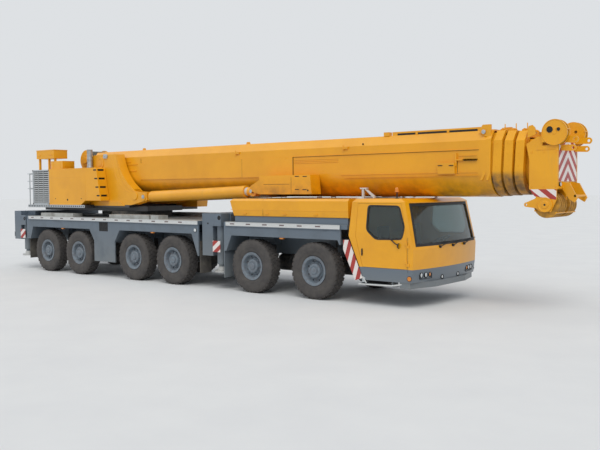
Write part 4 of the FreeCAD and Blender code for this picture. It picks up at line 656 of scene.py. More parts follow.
def add_turned(bm, axis, centre, profile, steps=48, material=0):
    """A profile of (along, radius) points spun a full turn about an axis."""
    verts = []
    for along, radius in profile:
        verts.append(bm.verts.new((radius, 0, along)))
    edges = [bm.edges.new(pair) for pair in zip(verts, verts[1:])]
    before = set(bm.verts) - set(verts)
    bmesh.ops.spin(bm, geom=verts + edges, cent=(0, 0, 0), axis=(0, 0, 1),
                   angle=2 * math.pi, steps=steps, use_merge=True)
    made = [vert for vert in bm.verts if vert not in before]
    bmesh.ops.remove_doubles(bm, verts=made, dist=1e-5)
    made = [vert for vert in bm.verts if vert not in before]
    bmesh.ops.rotate(bm, matrix=TURN_TO[axis], verts=made)
    bmesh.ops.translate(bm, vec=Vector(centre), verts=made)
    bmesh.ops.recalc_face_normals(bm, faces=list({f for v in made for f in v.link_faces}))
    paint(made, material)
    return made


def add_pipe(bm, points, radius, segments=10, material=0):
    """A round bar bent through the points, mitred at each one."""
    rings = []
    spots = [Vector(point) for point in points]
    every = []
    for step, spot in enumerate(spots):
        before = spots[max(step - 1, 0)]
        after = spots[min(step + 1, len(spots) - 1)]
        along = (after - before).normalized()
        made = bmesh.ops.create_circle(bm, segments=segments, radius=radius)["verts"]
        turn = Vector((0, 0, 1)).rotation_difference(along).to_matrix()
        bmesh.ops.rotate(bm, matrix=turn, verts=made)
        bmesh.ops.translate(bm, vec=spot, verts=made)
        rings.append(made)
        every += made
    for first, second in zip(rings, rings[1:]):
        edges = [edge for ring in (first, second) for edge in
                 {e for v in ring for e in v.link_edges if all(w in ring for w in e.verts)}]
        bmesh.ops.bridge_loops(bm, edges=edges)
    for ring in (rings[0], rings[-1]):
        bm.faces.new(ring)
    bmesh.ops.recalc_face_normals(bm, faces=list({f for v in every for f in v.link_faces}))
    paint(every, material)
    return every


def finish_piece(name, bm, body, finishes, bevel=0.0, replaces=(), smooth=35):
    """Makes the bmesh a named piece on a body, with its finishes and softened edges."""
    mesh = bpy.data.meshes.new(name)
    bm.to_mesh(mesh)
    bm.free()
    for face in mesh.polygons:
        face.use_smooth = True
    mesh.set_sharp_from_angle(angle=math.radians(smooth))
    piece = bpy.data.objects.new(name, mesh)
    bpy.context.scene.collection.objects.link(piece)
    for finish in finishes:
        mesh.materials.append(finish)
    if bevel:
        soft = piece.modifiers.new("soft_edges", "BEVEL")
        soft.width = bevel
        soft.segments = 2
        soft.limit_method = "ANGLE"
        soft.angle_limit = math.radians(40)
    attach(piece, body)
    if replaces:
        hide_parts(*replaces)
    return piece


def mirror_piece(bm):
    """Adds the same shapes on the machine's other side."""
    geom = list(bm.verts) + list(bm.edges) + list(bm.faces)
    copy = bmesh.ops.duplicate(bm, geom=geom)["geom"]
    verts = [part for part in copy if isinstance(part, bmesh.types.BMVert)]
    bmesh.ops.scale(bm, vec=Vector((1, -1, 1)), verts=verts)
    faces = [part for part in copy if isinstance(part, bmesh.types.BMFace)]
    bmesh.ops.reverse_faces(bm, faces=faces)


def striped_sheet(bm, corners, lean, pitch=None, thick=0.004):
    """A four-cornered plate cut into leaning red (0) and white (1) stripes.

    The corners run round the plate; lean is the direction across the stripes, in its plane.
    """
    corners = [Vector(corner) for corner in corners]
    verts = [bm.verts.new(corner) for corner in corners]
    face = bm.faces.new(verts)
    face.normal_update()
    out = face.normal.copy()
    across = Vector(lean).normalized()
    pitch = pitch or sizes().stripe_pitch / 2
    reach = [corner.dot(across) for corner in corners]
    step = math.ceil(min(reach) / pitch)
    faces, edges = [face], list(face.edges)
    geom = verts + edges + faces
    while step * pitch < max(reach):
        plane_spot = across * (step * pitch)
        result = bmesh.ops.bisect_plane(bm, geom=geom, plane_co=plane_spot,
                                        plane_no=across)
        geom = result["geom"]
        step += 1
    faces = [part for part in geom if isinstance(part, bmesh.types.BMFace)]
    for face in faces:
        number = math.floor(face.calc_center_median().dot(across) / pitch)
        face.material_index = number % 2
    grown = bmesh.ops.extrude_face_region(bm, geom=faces, use_keep_orig=True)["geom"]
    moved = [part for part in grown if isinstance(part, bmesh.types.BMVert)]
    bmesh.ops.translate(bm, vec=-out * thick, verts=moved)
    bmesh.ops.recalc_face_normals(bm, faces=list(bm.faces))


def grown(outline, step):
    """A flat outline moved outwards (or inwards, below 0) by a step at every edge."""
    area = sum(a[0] * b[1] - b[0] * a[1] for a, b in zip(outline, outline[1:] + outline[:1]))
    turn = 1 if area > 0 else -1
    moved = []
    for number, (u, v) in enumerate(outline):
        before = Vector((u, v)) - Vector(outline[number - 1])
        after = Vector(outline[(number + 1) % len(outline)]) - Vector((u, v))
        normals = [Vector((side.y, -side.x)).normalized() * turn for side in (before, after)]
        middle = (normals[0] + normals[1]).normalized()
        reach = step / max(middle.dot(normals[0]), 0.3)
        moved.append((u + middle.x * reach, v + middle.y * reach))
    return moved


def rounded(outline, radius, steps=4):
    """The outline with its corners cut to arcs, each of a few points."""
    soft = []
    for number, (u, v) in enumerate(outline):
        corner = Vector((u, v))
        back = (Vector(outline[number - 1]) - corner).normalized() * radius
        on = (Vector(outline[(number + 1) % len(outline)]) - corner).normalized() * radius
        for step in range(steps + 1):
            t = step / steps
            spot = corner + back * (1 - t) ** 2 + on * t ** 2
            soft.append((spot.x, spot.y))
    return soft


def add_band(bm, outer, inner, thick, material=0):
    """A closed strip between two loops of points, given a thickness to its outside."""
    loops = []
    for loop in (outer, inner):
        verts = [bm.verts.new(spot) for spot in loop]
        edges = [bm.edges.new(pair) for pair in zip(verts, verts[1:] + verts[:1])]
        loops.append((verts, edges))
    bmesh.ops.bridge_loops(bm, edges=loops[0][1] + loops[1][1])
    verts = loops[0][0] + loops[1][0]
    faces = list({face for vert in verts for face in vert.link_faces})
    bmesh.ops.recalc_face_normals(bm, faces=faces)
    made = bmesh.ops.solidify(bm, geom=faces, thickness=thick)["geom"]
    verts += [part for part in made if isinstance(part, bmesh.types.BMVert)]
    bmesh.ops.recalc_face_normals(bm, faces=list({f for v in verts for f in v.link_faces}))
    paint(verts, material)
    return verts


# The carrier cab's surface, which its trim lies on: level, nose, bow and half width
CAB_FRONT = ((0.58, 6.29, 0.15, 1.48), (0.87, 6.33, 0.15, 1.48), (1.31, 6.35, 0.15, 1.48),
             (1.57, 6.29, 0.15, 1.48), (2.34, 6.12, 0.12, 1.45), (2.41, 5.98, 0.075, 1.36))


def cab_level(z):
    """Nose, bow and half width of the cab at a height."""
    z = min(max(z, CAB_FRONT[0][0]), CAB_FRONT[-1][0])
    for low, high in zip(CAB_FRONT, CAB_FRONT[1:]):
        if z <= high[0]:
            t = (z - low[0]) / (high[0] - low[0])
            return [a + (b - a) * t for a, b in zip(low[1:], high[1:])]
    return CAB_FRONT[-1][1:]


def on_cab_front(y, z, out=0.0):
    """The point of the cab's bowed front at a width and height."""
    nose, bow, half = cab_level(z)
    radius = (half * half + bow * bow) / (2 * bow)
    return Vector((nose + math.sqrt(radius * radius - y * y) - (radius - bow) + out, y, z))


def on_cab_side(x, z, sign, out=0.0):
    """The point of the cab's side at a length and height."""
    return Vector((x, sign * (cab_level(z)[2] + out), z))


class CRANE_OT_stage(bpy.types.Operator):
    """Pale floor, soft lamps and the camera at the photograph's angle"""
    bl_idname = "crane.stage"
    bl_label = "Stage"

    def execute(self, context):
        scene = context.scene
        bm = bmesh.new()
        bmesh.ops.create_grid(bm, x_segments=1, y_segments=1, size=sizes().floor_size / 2)
        mesh = bpy.data.meshes.new("floor")
        bm.to_mesh(mesh)
        bm.free()
        floor = bpy.data.objects.new("floor", mesh)
        scene.collection.objects.link(floor)
        mesh.materials.append(studio_floor())
        world = bpy.data.worlds.new("studio")
        scene.world = world
        world.use_nodes = True
        tree = world.node_tree
        tree.nodes.clear()
        paths = add_node(tree, "ShaderNodeLightPath")
        seen = add_node(tree, "ShaderNodeMath", {
            0: paths.outputs["Is Camera Ray"], 1: paths.outputs["Is Glossy Ray"]},
            operation="MAXIMUM")
        seen = add_node(tree, "ShaderNodeMath", {
            0: seen.outputs[0], 1: paths.outputs["Is Transmission Ray"]},
            operation="MAXIMUM")
        light = add_node(tree, "ShaderNodeBackground", {
            "Color": hex_to_linear("#F2F5FA"), "Strength": 0.62})
        shown = add_node(tree, "ShaderNodeBackground", {
            "Color": hex_to_linear("#E3E6E9"), "Strength": 0.95})
        both = add_node(tree, "ShaderNodeMixShader", {
            0: seen.outputs[0], 1: light.outputs[0], 2: shown.outputs[0]})
        add_node(tree, "ShaderNodeOutputWorld", {"Surface": both.outputs[0]})
        for name, turn, power, spread in (("sky_key", (38, 8, 28), 1.55, 42),
                                          ("sky_fill", (52, 0, -70), 0.45, 60)):
            lamp = bpy.data.lights.new(name, "SUN")
            lamp.energy = power
            lamp.angle = math.radians(spread)
            lamp.color = hex_to_linear("#FFFDF8")[:3]
            held = bpy.data.objects.new(name, lamp)
            held.rotation_euler = [math.radians(part) for part in turn]
            scene.collection.objects.link(held)
        lens_data = bpy.data.cameras.new("photo_camera")
        lens_data.sensor_width = 36
        lens_data.lens = 46.18
        lens_data.clip_end = 1000
        camera = bpy.data.objects.new("photo_camera", lens_data)
        scene.collection.objects.link(camera)
        yaw, pitch, roll = 0.682, -0.048, -0.008
        ahead = Vector((-math.sin(yaw) * math.cos(pitch), math.cos(yaw) * math.cos(pitch),
                        math.sin(pitch)))
        right = Vector((math.cos(yaw), math.sin(yaw), 0))
        up = right.cross(ahead)
        level = right * math.cos(roll) + up * math.sin(roll)
        rise = up * math.cos(roll) - right * math.sin(roll)
        camera.matrix_world = Matrix.Translation((14.879, -15.851, 2.665)) @ Matrix(
            (level, rise, -ahead)).transposed().to_4x4()
        scene.camera = camera
        scene.view_settings.view_transform = "Standard"
        return {"FINISHED"}


@known
def studio_floor():
    """A pale, slightly mottled studio floor that keeps the machine's shadow."""
    material, tree, surface = new_material("studio_floor")
    place = object_place(tree)
    mottle = cloud_amount(tree, place, 1400, 0.3, 0.8)
    tree.links.new(blend_colour(tree, mottle, hex_to_linear("#D9DBDC"),
                                hex_to_linear("#D3D5D7")), surface.inputs["Base Color"])
    surface.inputs["Roughness"].default_value = 0.9
    return material


@known
def boom_enamel():
    """Boom enamel: amber, with painted shade in brown patches on the rounded underside."""
    material, tree, surface = new_material("boom_enamel")
    place = object_place(tree)
    patches = cloud_amount(tree, place, 1100, 0.38, 0.8)
    colour = blend_colour(tree, patches, tuple(colours().body), tuple(colours().body_faded))
    # Painted shade: brown-amber in patches, strongest low on the rounded underside.
    under = low_dust_and_painted_shade(tree, place, 2.42, 2.95, 0.8)
    shade_patches = cloud_amount(tree, place, 260, 0.35, 0.7)
    painted_underside_shade = add_node(tree, "ShaderNodeMath", {0: under, 1: shade_patches}, operation="MULTIPLY")
    colour = blend_colour(tree, painted_underside_shade.outputs[0], colour, hex_to_linear("#6E4A1C"))
    tree.links.new(colour, surface.inputs["Base Color"])
    sheen = add_node(tree, "ShaderNodeMapRange", {"Value": patches, "To Min": 0.36,
                                                  "To Max": 0.5})
    tree.links.new(sheen.outputs[0], surface.inputs["Roughness"])
    surface.inputs["Coat Weight"].default_value = 0.2
    surface.inputs["Coat Roughness"].default_value = 0.2
    tree.links.new(grain_bump(tree, place, 34, 0.4, 0.25), surface.inputs["Normal"])
    return material


@known
def collar_enamel():
    """Enamel on the telescopic collars, with painted shade in grey-brown patches where they are
    rounded below.
    """
    material, tree, surface = new_material("collar_enamel")
    place = object_place(tree)
    patches = cloud_amount(tree, place, 700, 0.38, 0.8)
    colour = blend_colour(tree, patches, tuple(colours().body), tuple(colours().body_faded))
    # Painted shade: grey-brown in patches on the rounded underside of each collar.
    under = low_dust_and_painted_shade(tree, place, 2.86, 2.99, 1.0)
    shade_patches = cloud_amount(tree, place, 170, 0.18, 0.62)
    painted_underside_shade = add_node(tree, "ShaderNodeMath", {0: under, 1: shade_patches}, operation="MULTIPLY",
                     use_clamp=True)
    colour = blend_colour(tree, painted_underside_shade.outputs[0], colour, hex_to_linear("#7B5D38"))
    tree.links.new(colour, surface.inputs["Base Color"])
    surface.inputs["Roughness"].default_value = 0.48
    tree.links.new(grain_bump(tree, place, 22, 0.6, 0.35), surface.inputs["Normal"])
    return material


def banded(name, axis, level, below, above, roughness=0.42):
    """Enamel in one colour below a level of an axis and another above it."""
    material, tree, surface = new_material(name)
    place = object_place(tree)
    patches = cloud_amount(tree, place, 600, 0.4, 0.8)
    pair = [blend_colour(tree, patches, *tones) for tones in (below, above)]
    spot = add_node(tree, "ShaderNodeSeparateXYZ", {"Vector": place}).outputs[axis]
    past = add_node(tree, "ShaderNodeMath", {0: spot, 1: level}, operation="GREATER_THAN")
    tree.links.new(blend_colour(tree, past.outputs[0], *pair), surface.inputs["Base Color"])
    surface.inputs["Roughness"].default_value = roughness
    surface.inputs["Coat Weight"].default_value = 0.15
    tree.links.new(grain_bump(tree, place, 22, 0.3, 0.25), surface.inputs["Normal"])
    return material


def amber_pair():
    return tuple(colours().body), tuple(colours().body_faded)


@known
def turntable_amber_over_painted_shade():
    """Amber enamel on the columns; below z 2.19 the platform is black-grey, painted shade under
    the superstructure.
    """
    return banded("turntable_amber_over_painted_shade", 2, 2.19,
                  (hex_to_linear("#3B3C3E"), hex_to_linear("#4B4A48")), amber_pair())


@known
def jack_finish():
    """Blue-grey jack tube over a bare steel foot."""
    return banded("jack_finish", 2, 0.60, (hex_to_linear("#B9BBBA"), hex_to_linear("#96948F")),
                  (tuple(colours().chassis), tuple(colours().chassis_dust)))


@known
def rod_and_eye():
    """Chromed rod with an enamelled eye at its end."""
    return banded("rod_and_eye", 0, 0.93,
                  (hex_to_linear("#C9CBCC"), hex_to_linear("#A9A8A4")), amber_pair(), 0.28)


@known
def rail_and_winch():
    """Amber enamel on the winch, galvanised pipe on the rail behind it."""
    material, tree, surface = new_material("rail_and_winch")
    place = object_place(tree)
    patches = cloud_amount(tree, place, 500, 0.4, 0.8)
    amber = blend_colour(tree, patches, tuple(colours().body), tuple(colours().body_faded))
    silver = blend_colour(tree, patches, hex_to_linear("#B9BEC0"), hex_to_linear("#A3A7A9"))
    length = add_node(tree, "ShaderNodeSeparateXYZ", {"Vector": place}).outputs[0]
    rail = add_node(tree, "ShaderNodeMath", {0: length, 1: -8.70},
                    operation="LESS_THAN").outputs[0]
    tree.links.new(blend_colour(tree, rail, amber, silver), surface.inputs["Base Color"])
    surface.inputs["Roughness"].default_value = 0.42
    tree.links.new(grain_bump(tree, place, 18, 0.3, 0.25), surface.inputs["Normal"])
    return material


@known
def engine_house_enamel():
    """Amber enamel on the engine house, silver-grey enamel on the radiator frame behind it."""
    material, tree, surface = new_material("engine_house_enamel")
    place = object_place(tree)
    patches = cloud_amount(tree, place, 800, 0.4, 0.8)
    amber = blend_colour(tree, patches, tuple(colours().body), tuple(colours().body_faded))
    silver = blend_colour(tree, patches, hex_to_linear("#B4B8B9"), hex_to_linear("#9DA2A4"))
    length = add_node(tree, "ShaderNodeSeparateXYZ", {"Vector": place})
    back = add_node(tree, "ShaderNodeMath", {0: length.outputs[0], 1: -7.615},
                    operation="LESS_THAN").outputs[0]
    right = add_node(tree, "ShaderNodeMath", {0: length.outputs[1], 1: 0.0},
                     operation="LESS_THAN").outputs[0]
    grille = add_node(tree, "ShaderNodeMath", {0: back, 1: right}, operation="MULTIPLY")
    tree.links.new(blend_colour(tree, grille.outputs[0], amber, silver),
                   surface.inputs["Base Color"])
    surface.inputs["Roughness"].default_value = 0.4
    surface.inputs["Coat Weight"].default_value = 0.2
    tree.links.new(grain_bump(tree, place, 26, 0.3, 0.25), surface.inputs["Normal"])
    return material


CAD_FINISHES = (
    ("chassis_frame", chassis_enamel), ("deck_and_fenders", deck_finish),
    ("axle_housings", axle_paint), ("engine_hood", hood_enamel),
    ("carrier_engine", axle_paint), ("cab_shell", cab_enamel),
    ("cab_windscreen", tinted_glass), ("bumper_and_steps", chassis_enamel),
    ("boom_rest", mill_aluminium), ("slewing_ring", axle_paint),
    ("superstructure_frame", turntable_amber_over_painted_shade), ("engine_houses", engine_house_enamel),
    ("winch_and_rails", rail_and_winch), ("crane_cab_shell", body_enamel),
    ("crane_cab_glass", tinted_glass), ("crane_cab_door", body_enamel),
    ("boom_base", boom_enamel), ("boom_section_1", collar_enamel),
    ("boom_section_2", collar_enamel), ("boom_section_3", collar_enamel),
    ("boom_section_4_with_head", body_enamel), ("head_sheaves", sheave_nylon),
    ("luffing_barrels", body_enamel), ("luffing_rods", rod_and_eye),
    ("cab_interior", moulded_plastic), ("crane_cab_seat", moulded_plastic),
)


class CRANE_OT_cad_finishes(bpy.types.Operator):
    """Paint, glass and metal on the CAD nodes that keep their own shape"""
    bl_idname = "crane.cad_finishes"
    bl_label = "CAD finishes"

    def execute(self, context):
        pairs = list(CAD_FINISHES)
        for side, sign in SIDES:
            pairs += [(f"cab_door_{side}", cab_enamel),
                      (f"cab_door_glass_{side}", tinted_glass)]
            pairs += [(f"outrigger_beam_{end}_{side}", chassis_enamel)
                      for end in ("front", "rear")]
            pairs += [(f"outrigger_jack_{end}_{side}", jack_finish)
                      for end in ("front", "rear")]
            pairs += [(f"knuckle_{side}_{word}", axle_paint) for word in AXLES
                      if f"knuckle_{side}_{word}" in NODES]
        for name, finish in pairs:
            mesh = NODES[name].data
            if not mesh.materials:
                mesh.materials.append(finish())
            for number in range(len(mesh.materials)):
                mesh.materials[number] = finish()
        return {"FINISHED"}


def tyre_shape():
    """One tyre about the Y axis, centred on the origin, with its tread lugs."""
    bm = bmesh.new()
    half = [(0.0, 0.671), (0.07, 0.670), (0.13, 0.666), (0.158, 0.658), (0.174, 0.644),
            (0.185, 0.616), (0.191, 0.580), (0.195, 0.535), (0.1935, 0.528), (0.195, 0.521),
            (0.194, 0.476), (0.191, 0.470), (0.189, 0.430), (0.182, 0.398), (0.172, 0.374),
            (0.152, 0.354), (0.140, 0.347)]
    profile = [(-along, radius) for along, radius in reversed(half[1:])] + half
    add_turned(bm, "y", (0, 0, 0), profile, steps=72)
    lugs = sizes().tread_lugs
    rows = ((-0.128, 0.076, 0.0, 0.70), (0.128, 0.076, 0.5, 0.70), (-0.042, 0.072, 0.3, 0.78),
            (0.042, 0.072, 0.8, 0.78))
    for across, wide, lead, fill in rows:
        drop = 0.009 if abs(across) > 0.1 else 0.0
        for step in range(lugs):
            angle = 2 * math.pi * (step + lead) / lugs
            long = 2 * math.pi * 0.68 / lugs * fill
            made = bmesh.ops.create_cube(bm, size=1)["verts"]
            bmesh.ops.scale(bm, vec=(long, wide, 0.024), verts=made)
            slant = Matrix.Rotation(math.radians(10 if across > 0 else -10), 3, "Z")
            bmesh.ops.rotate(bm, matrix=slant, verts=made)
            bmesh.ops.translate(bm, vec=(0, across, 0.672 - drop / 2), verts=made)
            bmesh.ops.rotate(bm, matrix=Matrix.Rotation(angle, 3, "Y"), verts=made,
                             cent=(0, 0, 0))
    return bm


def rim_shape():
    """One rim about the Y axis with its disc, hub and nuts; the outer face looks along +Y."""
    bm = bmesh.new()
    add_turned(bm, "y", (0, 0, 0), [
        (-0.152, 0.331), (-0.160, 0.352), (-0.168, 0.352), (-0.168, 0.324), (-0.05, 0.312),
        (-0.03, 0.15), (-0.03, 0.118)], steps=40)
    add_turned(bm, "y", (0, 0, 0), [
        (0.0, 0.30), (0.150, 0.336), (0.164, 0.358), (0.176, 0.358), (0.178, 0.346),
        (0.170, 0.330), (0.168, 0.298), (0.150, 0.286), (0.084, 0.280), (0.062, 0.262),
        (0.058, 0.236), (0.068, 0.222), (0.082, 0.214), (0.082, 0.186), (0.098, 0.176),
        (0.140, 0.172), (0.152, 0.162), (0.156, 0.120), (0.148, 0.110), (0.148, 0.086),
        (0.166, 0.080), (0.170, 0.068), (0.170, 0.0)], steps=48)
    for step in range(sizes().wheel_nuts):
        angle = 2 * math.pi * step / sizes().wheel_nuts
        spot = (0.200 * math.cos(angle), 0.200 * math.sin(angle))
        add_drum(bm, "y", (0.078, 0.106), spot, 0.016, tip=0.014, segments=6)
    for step in range(8):
        angle = 2 * math.pi * (step + 0.5) / 8
        spot = (0.249 * math.cos(angle), 0.249 * math.sin(angle))
        add_drum(bm, "y", (0.052, 0.062), spot, 0.020, segments=12, material=1)
    for step in range(8):
        angle = 2 * math.pi * step / 8
        spot = (0.140 * math.cos(angle), 0.140 * math.sin(angle))
        add_drum(bm, "y", (0.150, 0.162), spot, 0.010, segments=6)
    return bm


class CRANE_OT_wheels(bpy.types.Operator):
    """Twelve tyres with tread lugs, and rims with hubs and nuts"""
    bl_idname = "crane.wheels"
    bl_label = "Wheels"

    def execute(self, context):
        for kind, shape, finishes, slot, smooth in (
                ("tyre", tyre_shape, (tyre_rubber,), "tyre", 32),
                ("rim", rim_shape, (rim_enamel, dark_recess), "paint_grey", 40)):
            master = bpy.data.meshes.new(kind)
            bm = shape()
            bm.to_mesh(master)
            bm.free()
            for side, sign in SIDES:
                for word in AXLES:
                    low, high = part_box(f"wheel_{side}_{word}")
                    middle = [(a + b) / 2 for a, b in zip(low, high)]
                    middle[1] = sign * 1.29
                    bm = bmesh.new()
                    bm.from_mesh(master)
                    if sign < 0:
                        bmesh.ops.rotate(bm, matrix=Matrix.Rotation(math.pi, 3, "Z"),
                                         verts=bm.verts[:])
                    bmesh.ops.translate(bm, vec=middle, verts=bm.verts[:])
                    finish_piece(f"{kind}_{side}_{word}", bm, f"wheel_{side}_{word}",
                                 [finish() for finish in finishes], smooth=smooth,
                                 replaces=(f"wheel_{side}_{word}",))
        return {"FINISHED"}


def striped_pair(name, body, right_corners, lean, pitch=None):
    """A striped plate on the right side and its twin on the left, as one piece."""
    bm = bmesh.new()
    striped_sheet(bm, right_corners, lean, pitch)
    mirror_piece(bm)
    return finish_piece(name, bm, body, [stripe_red(), stripe_white()])


class CRANE_OT_striped_plates(bpy.types.Operator):
    """Red and white warning plates behind the cab, on the jacks and on the boom head"""
    bl_idname = "crane.striped_plates"
    bl_label = "Striped plates"

    def execute(self, context):
        out = -1.4985
        striped_pair("cab_warning_plates", "carrier",
                     [(4.50, out, 1.24), (4.83, out, 0.555), (5.035, out, 0.62),
                      (4.665, out, 1.47), (4.50, out, 1.465)], (0.960, 0, -0.281))
        for end, low in (("front", 0.99), ("rear", 1.05)):
            for side, sign in SIDES:
                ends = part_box(f"outrigger_beam_{end}_{side}")
                middle = (ends[0][0] + ends[1][0]) / 2
                y = sign * 1.4975
                corners = [(middle - 0.14, y, low), (middle + 0.14, y, low),
                           (middle + 0.14, y, low + 0.30), (middle - 0.14, y, low + 0.30)]
                if sign > 0:
                    corners.reverse()
                bm = bmesh.new()
                striped_sheet(bm, corners, (0.61, 0, -0.79))
                finish_piece(f"jack_plate_{end}_{side}", bm, f"outrigger_beam_{end}_{side}",
                             [stripe_red(), stripe_white()])
        front = 9.146
        striped_pair("head_front_chevrons", "boom_section_4",
                     [(front, 0, 2.76), (front, 0, 3.56), (front, -0.50, 3.56),
                      (front, -0.50, 2.76)], (0, -0.67, 0.74), 0.105)
        striped_pair("head_side_plates", "boom_section_4",
                     [(8.56, -0.5635, 2.60), (8.66, -0.5635, 2.46), (9.115, -0.5635, 2.39),
                      (9.118, -0.5635, 2.60)], (0.61, 0, 0.79), 0.1)
        return {"FINISHED"}


class CRANE_OT_boom_details(bpy.types.Operator):
    """Seams, bolts, ribs, hose box and lugs along the boom's base"""
    bl_idname = "crane.boom_details"
    bl_label = "Boom details"

    def execute(self, context):
        bm = bmesh.new()
        side, plate = 0.600, 0.615
        add_block(bm, (2.30, 7.44), (-side - 0.022, -side), (3.457, 3.472))
        for level, back, front in ((3.37, 2.32, 3.72), (3.33, 2.32, 3.72), (3.29, 2.32, 3.72),
                                   (2.97, 3.80, 7.42), (2.90, 3.90, 7.42)):
            add_block(bm, (back, front), (-side - 0.010, -side + 0.02), (level, level + 0.012))
        add_block(bm, (-3.765, -3.742), (-side - 0.012, -side + 0.02), (2.93, 3.62))
        for step in range(8):
            for z in (2.985, 3.435):
                add_drum(bm, "y", (-plate - 0.008, -plate + 0.004), (-3.55 + 0.8 * step, z),
                         0.014, segments=8)
        for x in (0.25, 3.86):
            add_block(bm, (x, x + 0.16), (-side - 0.035, -side + 0.02), (3.60, 3.66))
            add_drum(bm, "z", (3.56, 3.70), (x + 0.03, -side - 0.03), 0.014, segments=8)
        for x in (6.89, 7.08):
            add_block(bm, (x, 7.41), (-side - 0.052, -side + 0.02), (3.235, 3.262))
        add_block(bm, (6.89, 6.93), (-side - 0.045, -side + 0.02), (3.12, 3.40))
        add_block(bm, (6.96, 7.40), (-side - 0.012, -side + 0.02), (3.33, 3.345))
        made = add_block(bm, (6.46, 6.90), (-side - 0.085, -side + 0.02), (2.95, 3.19))
        low = [vert for vert in made if vert.co.z < 3.0]
        bmesh.ops.translate(bm, vec=(0, 0.02, 0), verts=low)
        bmesh.ops.translate(bm, vec=(0.03, 0, 0), verts=[v for v in low if v.co.x < 6.6])
        for x, front, z in ((-4.62, -4.22, 3.50), (-4.50, -3.90, 3.42), (-4.55, -3.95, 3.22)):
            add_block(bm, (x, front), (-side - 0.018, -side + 0.02), (z, z + 0.028))
        add_plate(bm, "xz", [(7.46, 2.80), (7.52, 2.80), (7.60, 2.96), (7.54, 2.98)], -0.60,
                  -0.50)
        add_plate(bm, "xz", [(7.60, 2.80), (7.66, 2.80), (7.70, 2.96), (7.66, 2.98)], -0.60,
                  -0.50)
        mirror_piece(bm)
        for x in (-3.93, 0.44):
            for y in (-0.37, 0.37):
                add_plate(bm, "xz", [(x, 3.86), (x + 0.16, 3.86), (x + 0.13, 3.93),
                                     (x + 0.03, 3.93)], y - 0.012, y + 0.012)
        add_block(bm, (4.95, 5.10), (-0.47, -0.34), (3.86, 3.955))
        for x in (5.8, 6.6):
            add_block(bm, (x, x + 0.06), (-0.46, -0.445), (3.86, 3.94))
        finish_piece("boom_base_fittings", bm, "boom", [boom_enamel()],
                     bevel=0.003)
        bm = bmesh.new()
        for x, z in ((6.50, 3.125), (6.77, 3.12)):
            add_block(bm, (x, x + 0.11), (-side - 0.087, -side - 0.080), (z, z + 0.018))
        for x, z in ((2.65, 2.945), (2.90, 2.94), (2.65, 2.62), (2.89, 2.615)):
            add_block(bm, (x, x + 0.13), (-0.9815, -0.979), (z, z + 0.020))
        add_drum(bm, "y", (-0.9815, -0.979), (3.06, 2.605), 0.024, segments=16)
        add_block(bm, (1.60, 2.47), (-0.9812, -0.979), (2.760, 2.768))
        add_block(bm, (2.522, 2.530), (-0.9812, -0.979), (2.53, 2.94))
        add_drum(bm, "y", (-side - 0.002, -side + 0.001), (4.449, 3.70), 0.022, segments=16)
        # Painted shadow: a dark strip under the long ledge.
        add_block(bm, (2.30, 7.44), (-side - 0.0035, -side), (3.449, 3.457))
        # Painted shadow: a dark strip under the short ledge.
        add_block(bm, (7.09, 7.40), (-side - 0.0035, -side), (3.227, 3.235))
        add_block(bm, (6.935, 6.941), (-side - 0.0035, -side), (2.95, 3.23))
        add_block(bm, (-3.742, -3.733), (-side - 0.0035, -side), (2.95, 3.60))
        # Painted shadow: a dark strip under the top rail.
        add_block(bm, (5.32, 7.34), (-0.452, -0.449), (3.868, 3.912))
        add_block(bm, (2.281, 2.291), (-0.6155, -0.60), (2.962, 3.458))
        add_block(bm, (0.495, 0.501), (-0.6158, -0.614), (2.962, 3.458))
        mirror_piece(bm)
        finish_piece("boom_seams_and_painted_shadows", bm, "boom", [dark_recess()])
        bm = bmesh.new()
        add_drum(bm, "y", (-0.606, -0.577), (7.545, 3.83), 0.046, segments=24)
        add_drum(bm, "y", (-0.612, -0.606), (7.545, 3.83), 0.018, segments=12)
        add_drum(bm, "y", (-0.99, -0.979), (1.15, 2.59), 0.045, segments=24)
        mirror_piece(bm)
        finish_piece("boom_pins", bm, "boom", [zinc_steel()], bevel=0.003)
        for step in (1, 2, 3):
            half, high, front = ((0.5865, 3.8515, 7.975), (0.573, 3.838, 8.215),
                                 (0.5595, 3.8245, 8.455))[step - 1]
            bm = bmesh.new()
            for y in (-0.30, 0.30):
                add_block(bm, (front - 0.17, front - 0.05), (y - 0.03, y + 0.03),
                          (high - 0.01, high + 0.035))
                add_drum(bm, "y", (y - 0.045, y + 0.045), (front - 0.11, high + 0.03), 0.028,
                         segments=12)
            add_drum(bm, "z", (high - 0.02, 3.985), (front - 0.03, -half + 0.19), 0.011,
                     segments=8)
            for sign in (-1, 1):
                ends = sorted((sign * (half - 0.002), sign * (half + 0.005)))
                for z in (3.10, 3.36, 3.58):
                    add_drum(bm, "y", ends, (front - 0.115 - (3.85 - z) * 0.05, z), 0.017,
                             segments=10)
            finish_piece(f"collar_{step}_fittings", bm, f"boom_section_{step}",
                         [collar_enamel()], bevel=0.003)
            bm = bmesh.new()
            bore = half - 0.0405 * step - 0.014
            low = 2.44 + 0.054 * step - 0.0405 * step
            for y in (-bore * 0.55, 0, bore * 0.55):
                add_block(bm, (front - 0.003, front + 0.002), (y - 0.05, y + 0.05),
                          (high - 0.05, high - 0.008))
            add_block(bm, (front - 0.07, front - 0.066), (-0.10, 0.10), (low + 0.01, low + 0.05))
            finish_piece(f"collar_{step}_pads", bm, f"boom_section_{step}",
                         [sheave_nylon()])
        return {"FINISHED"}


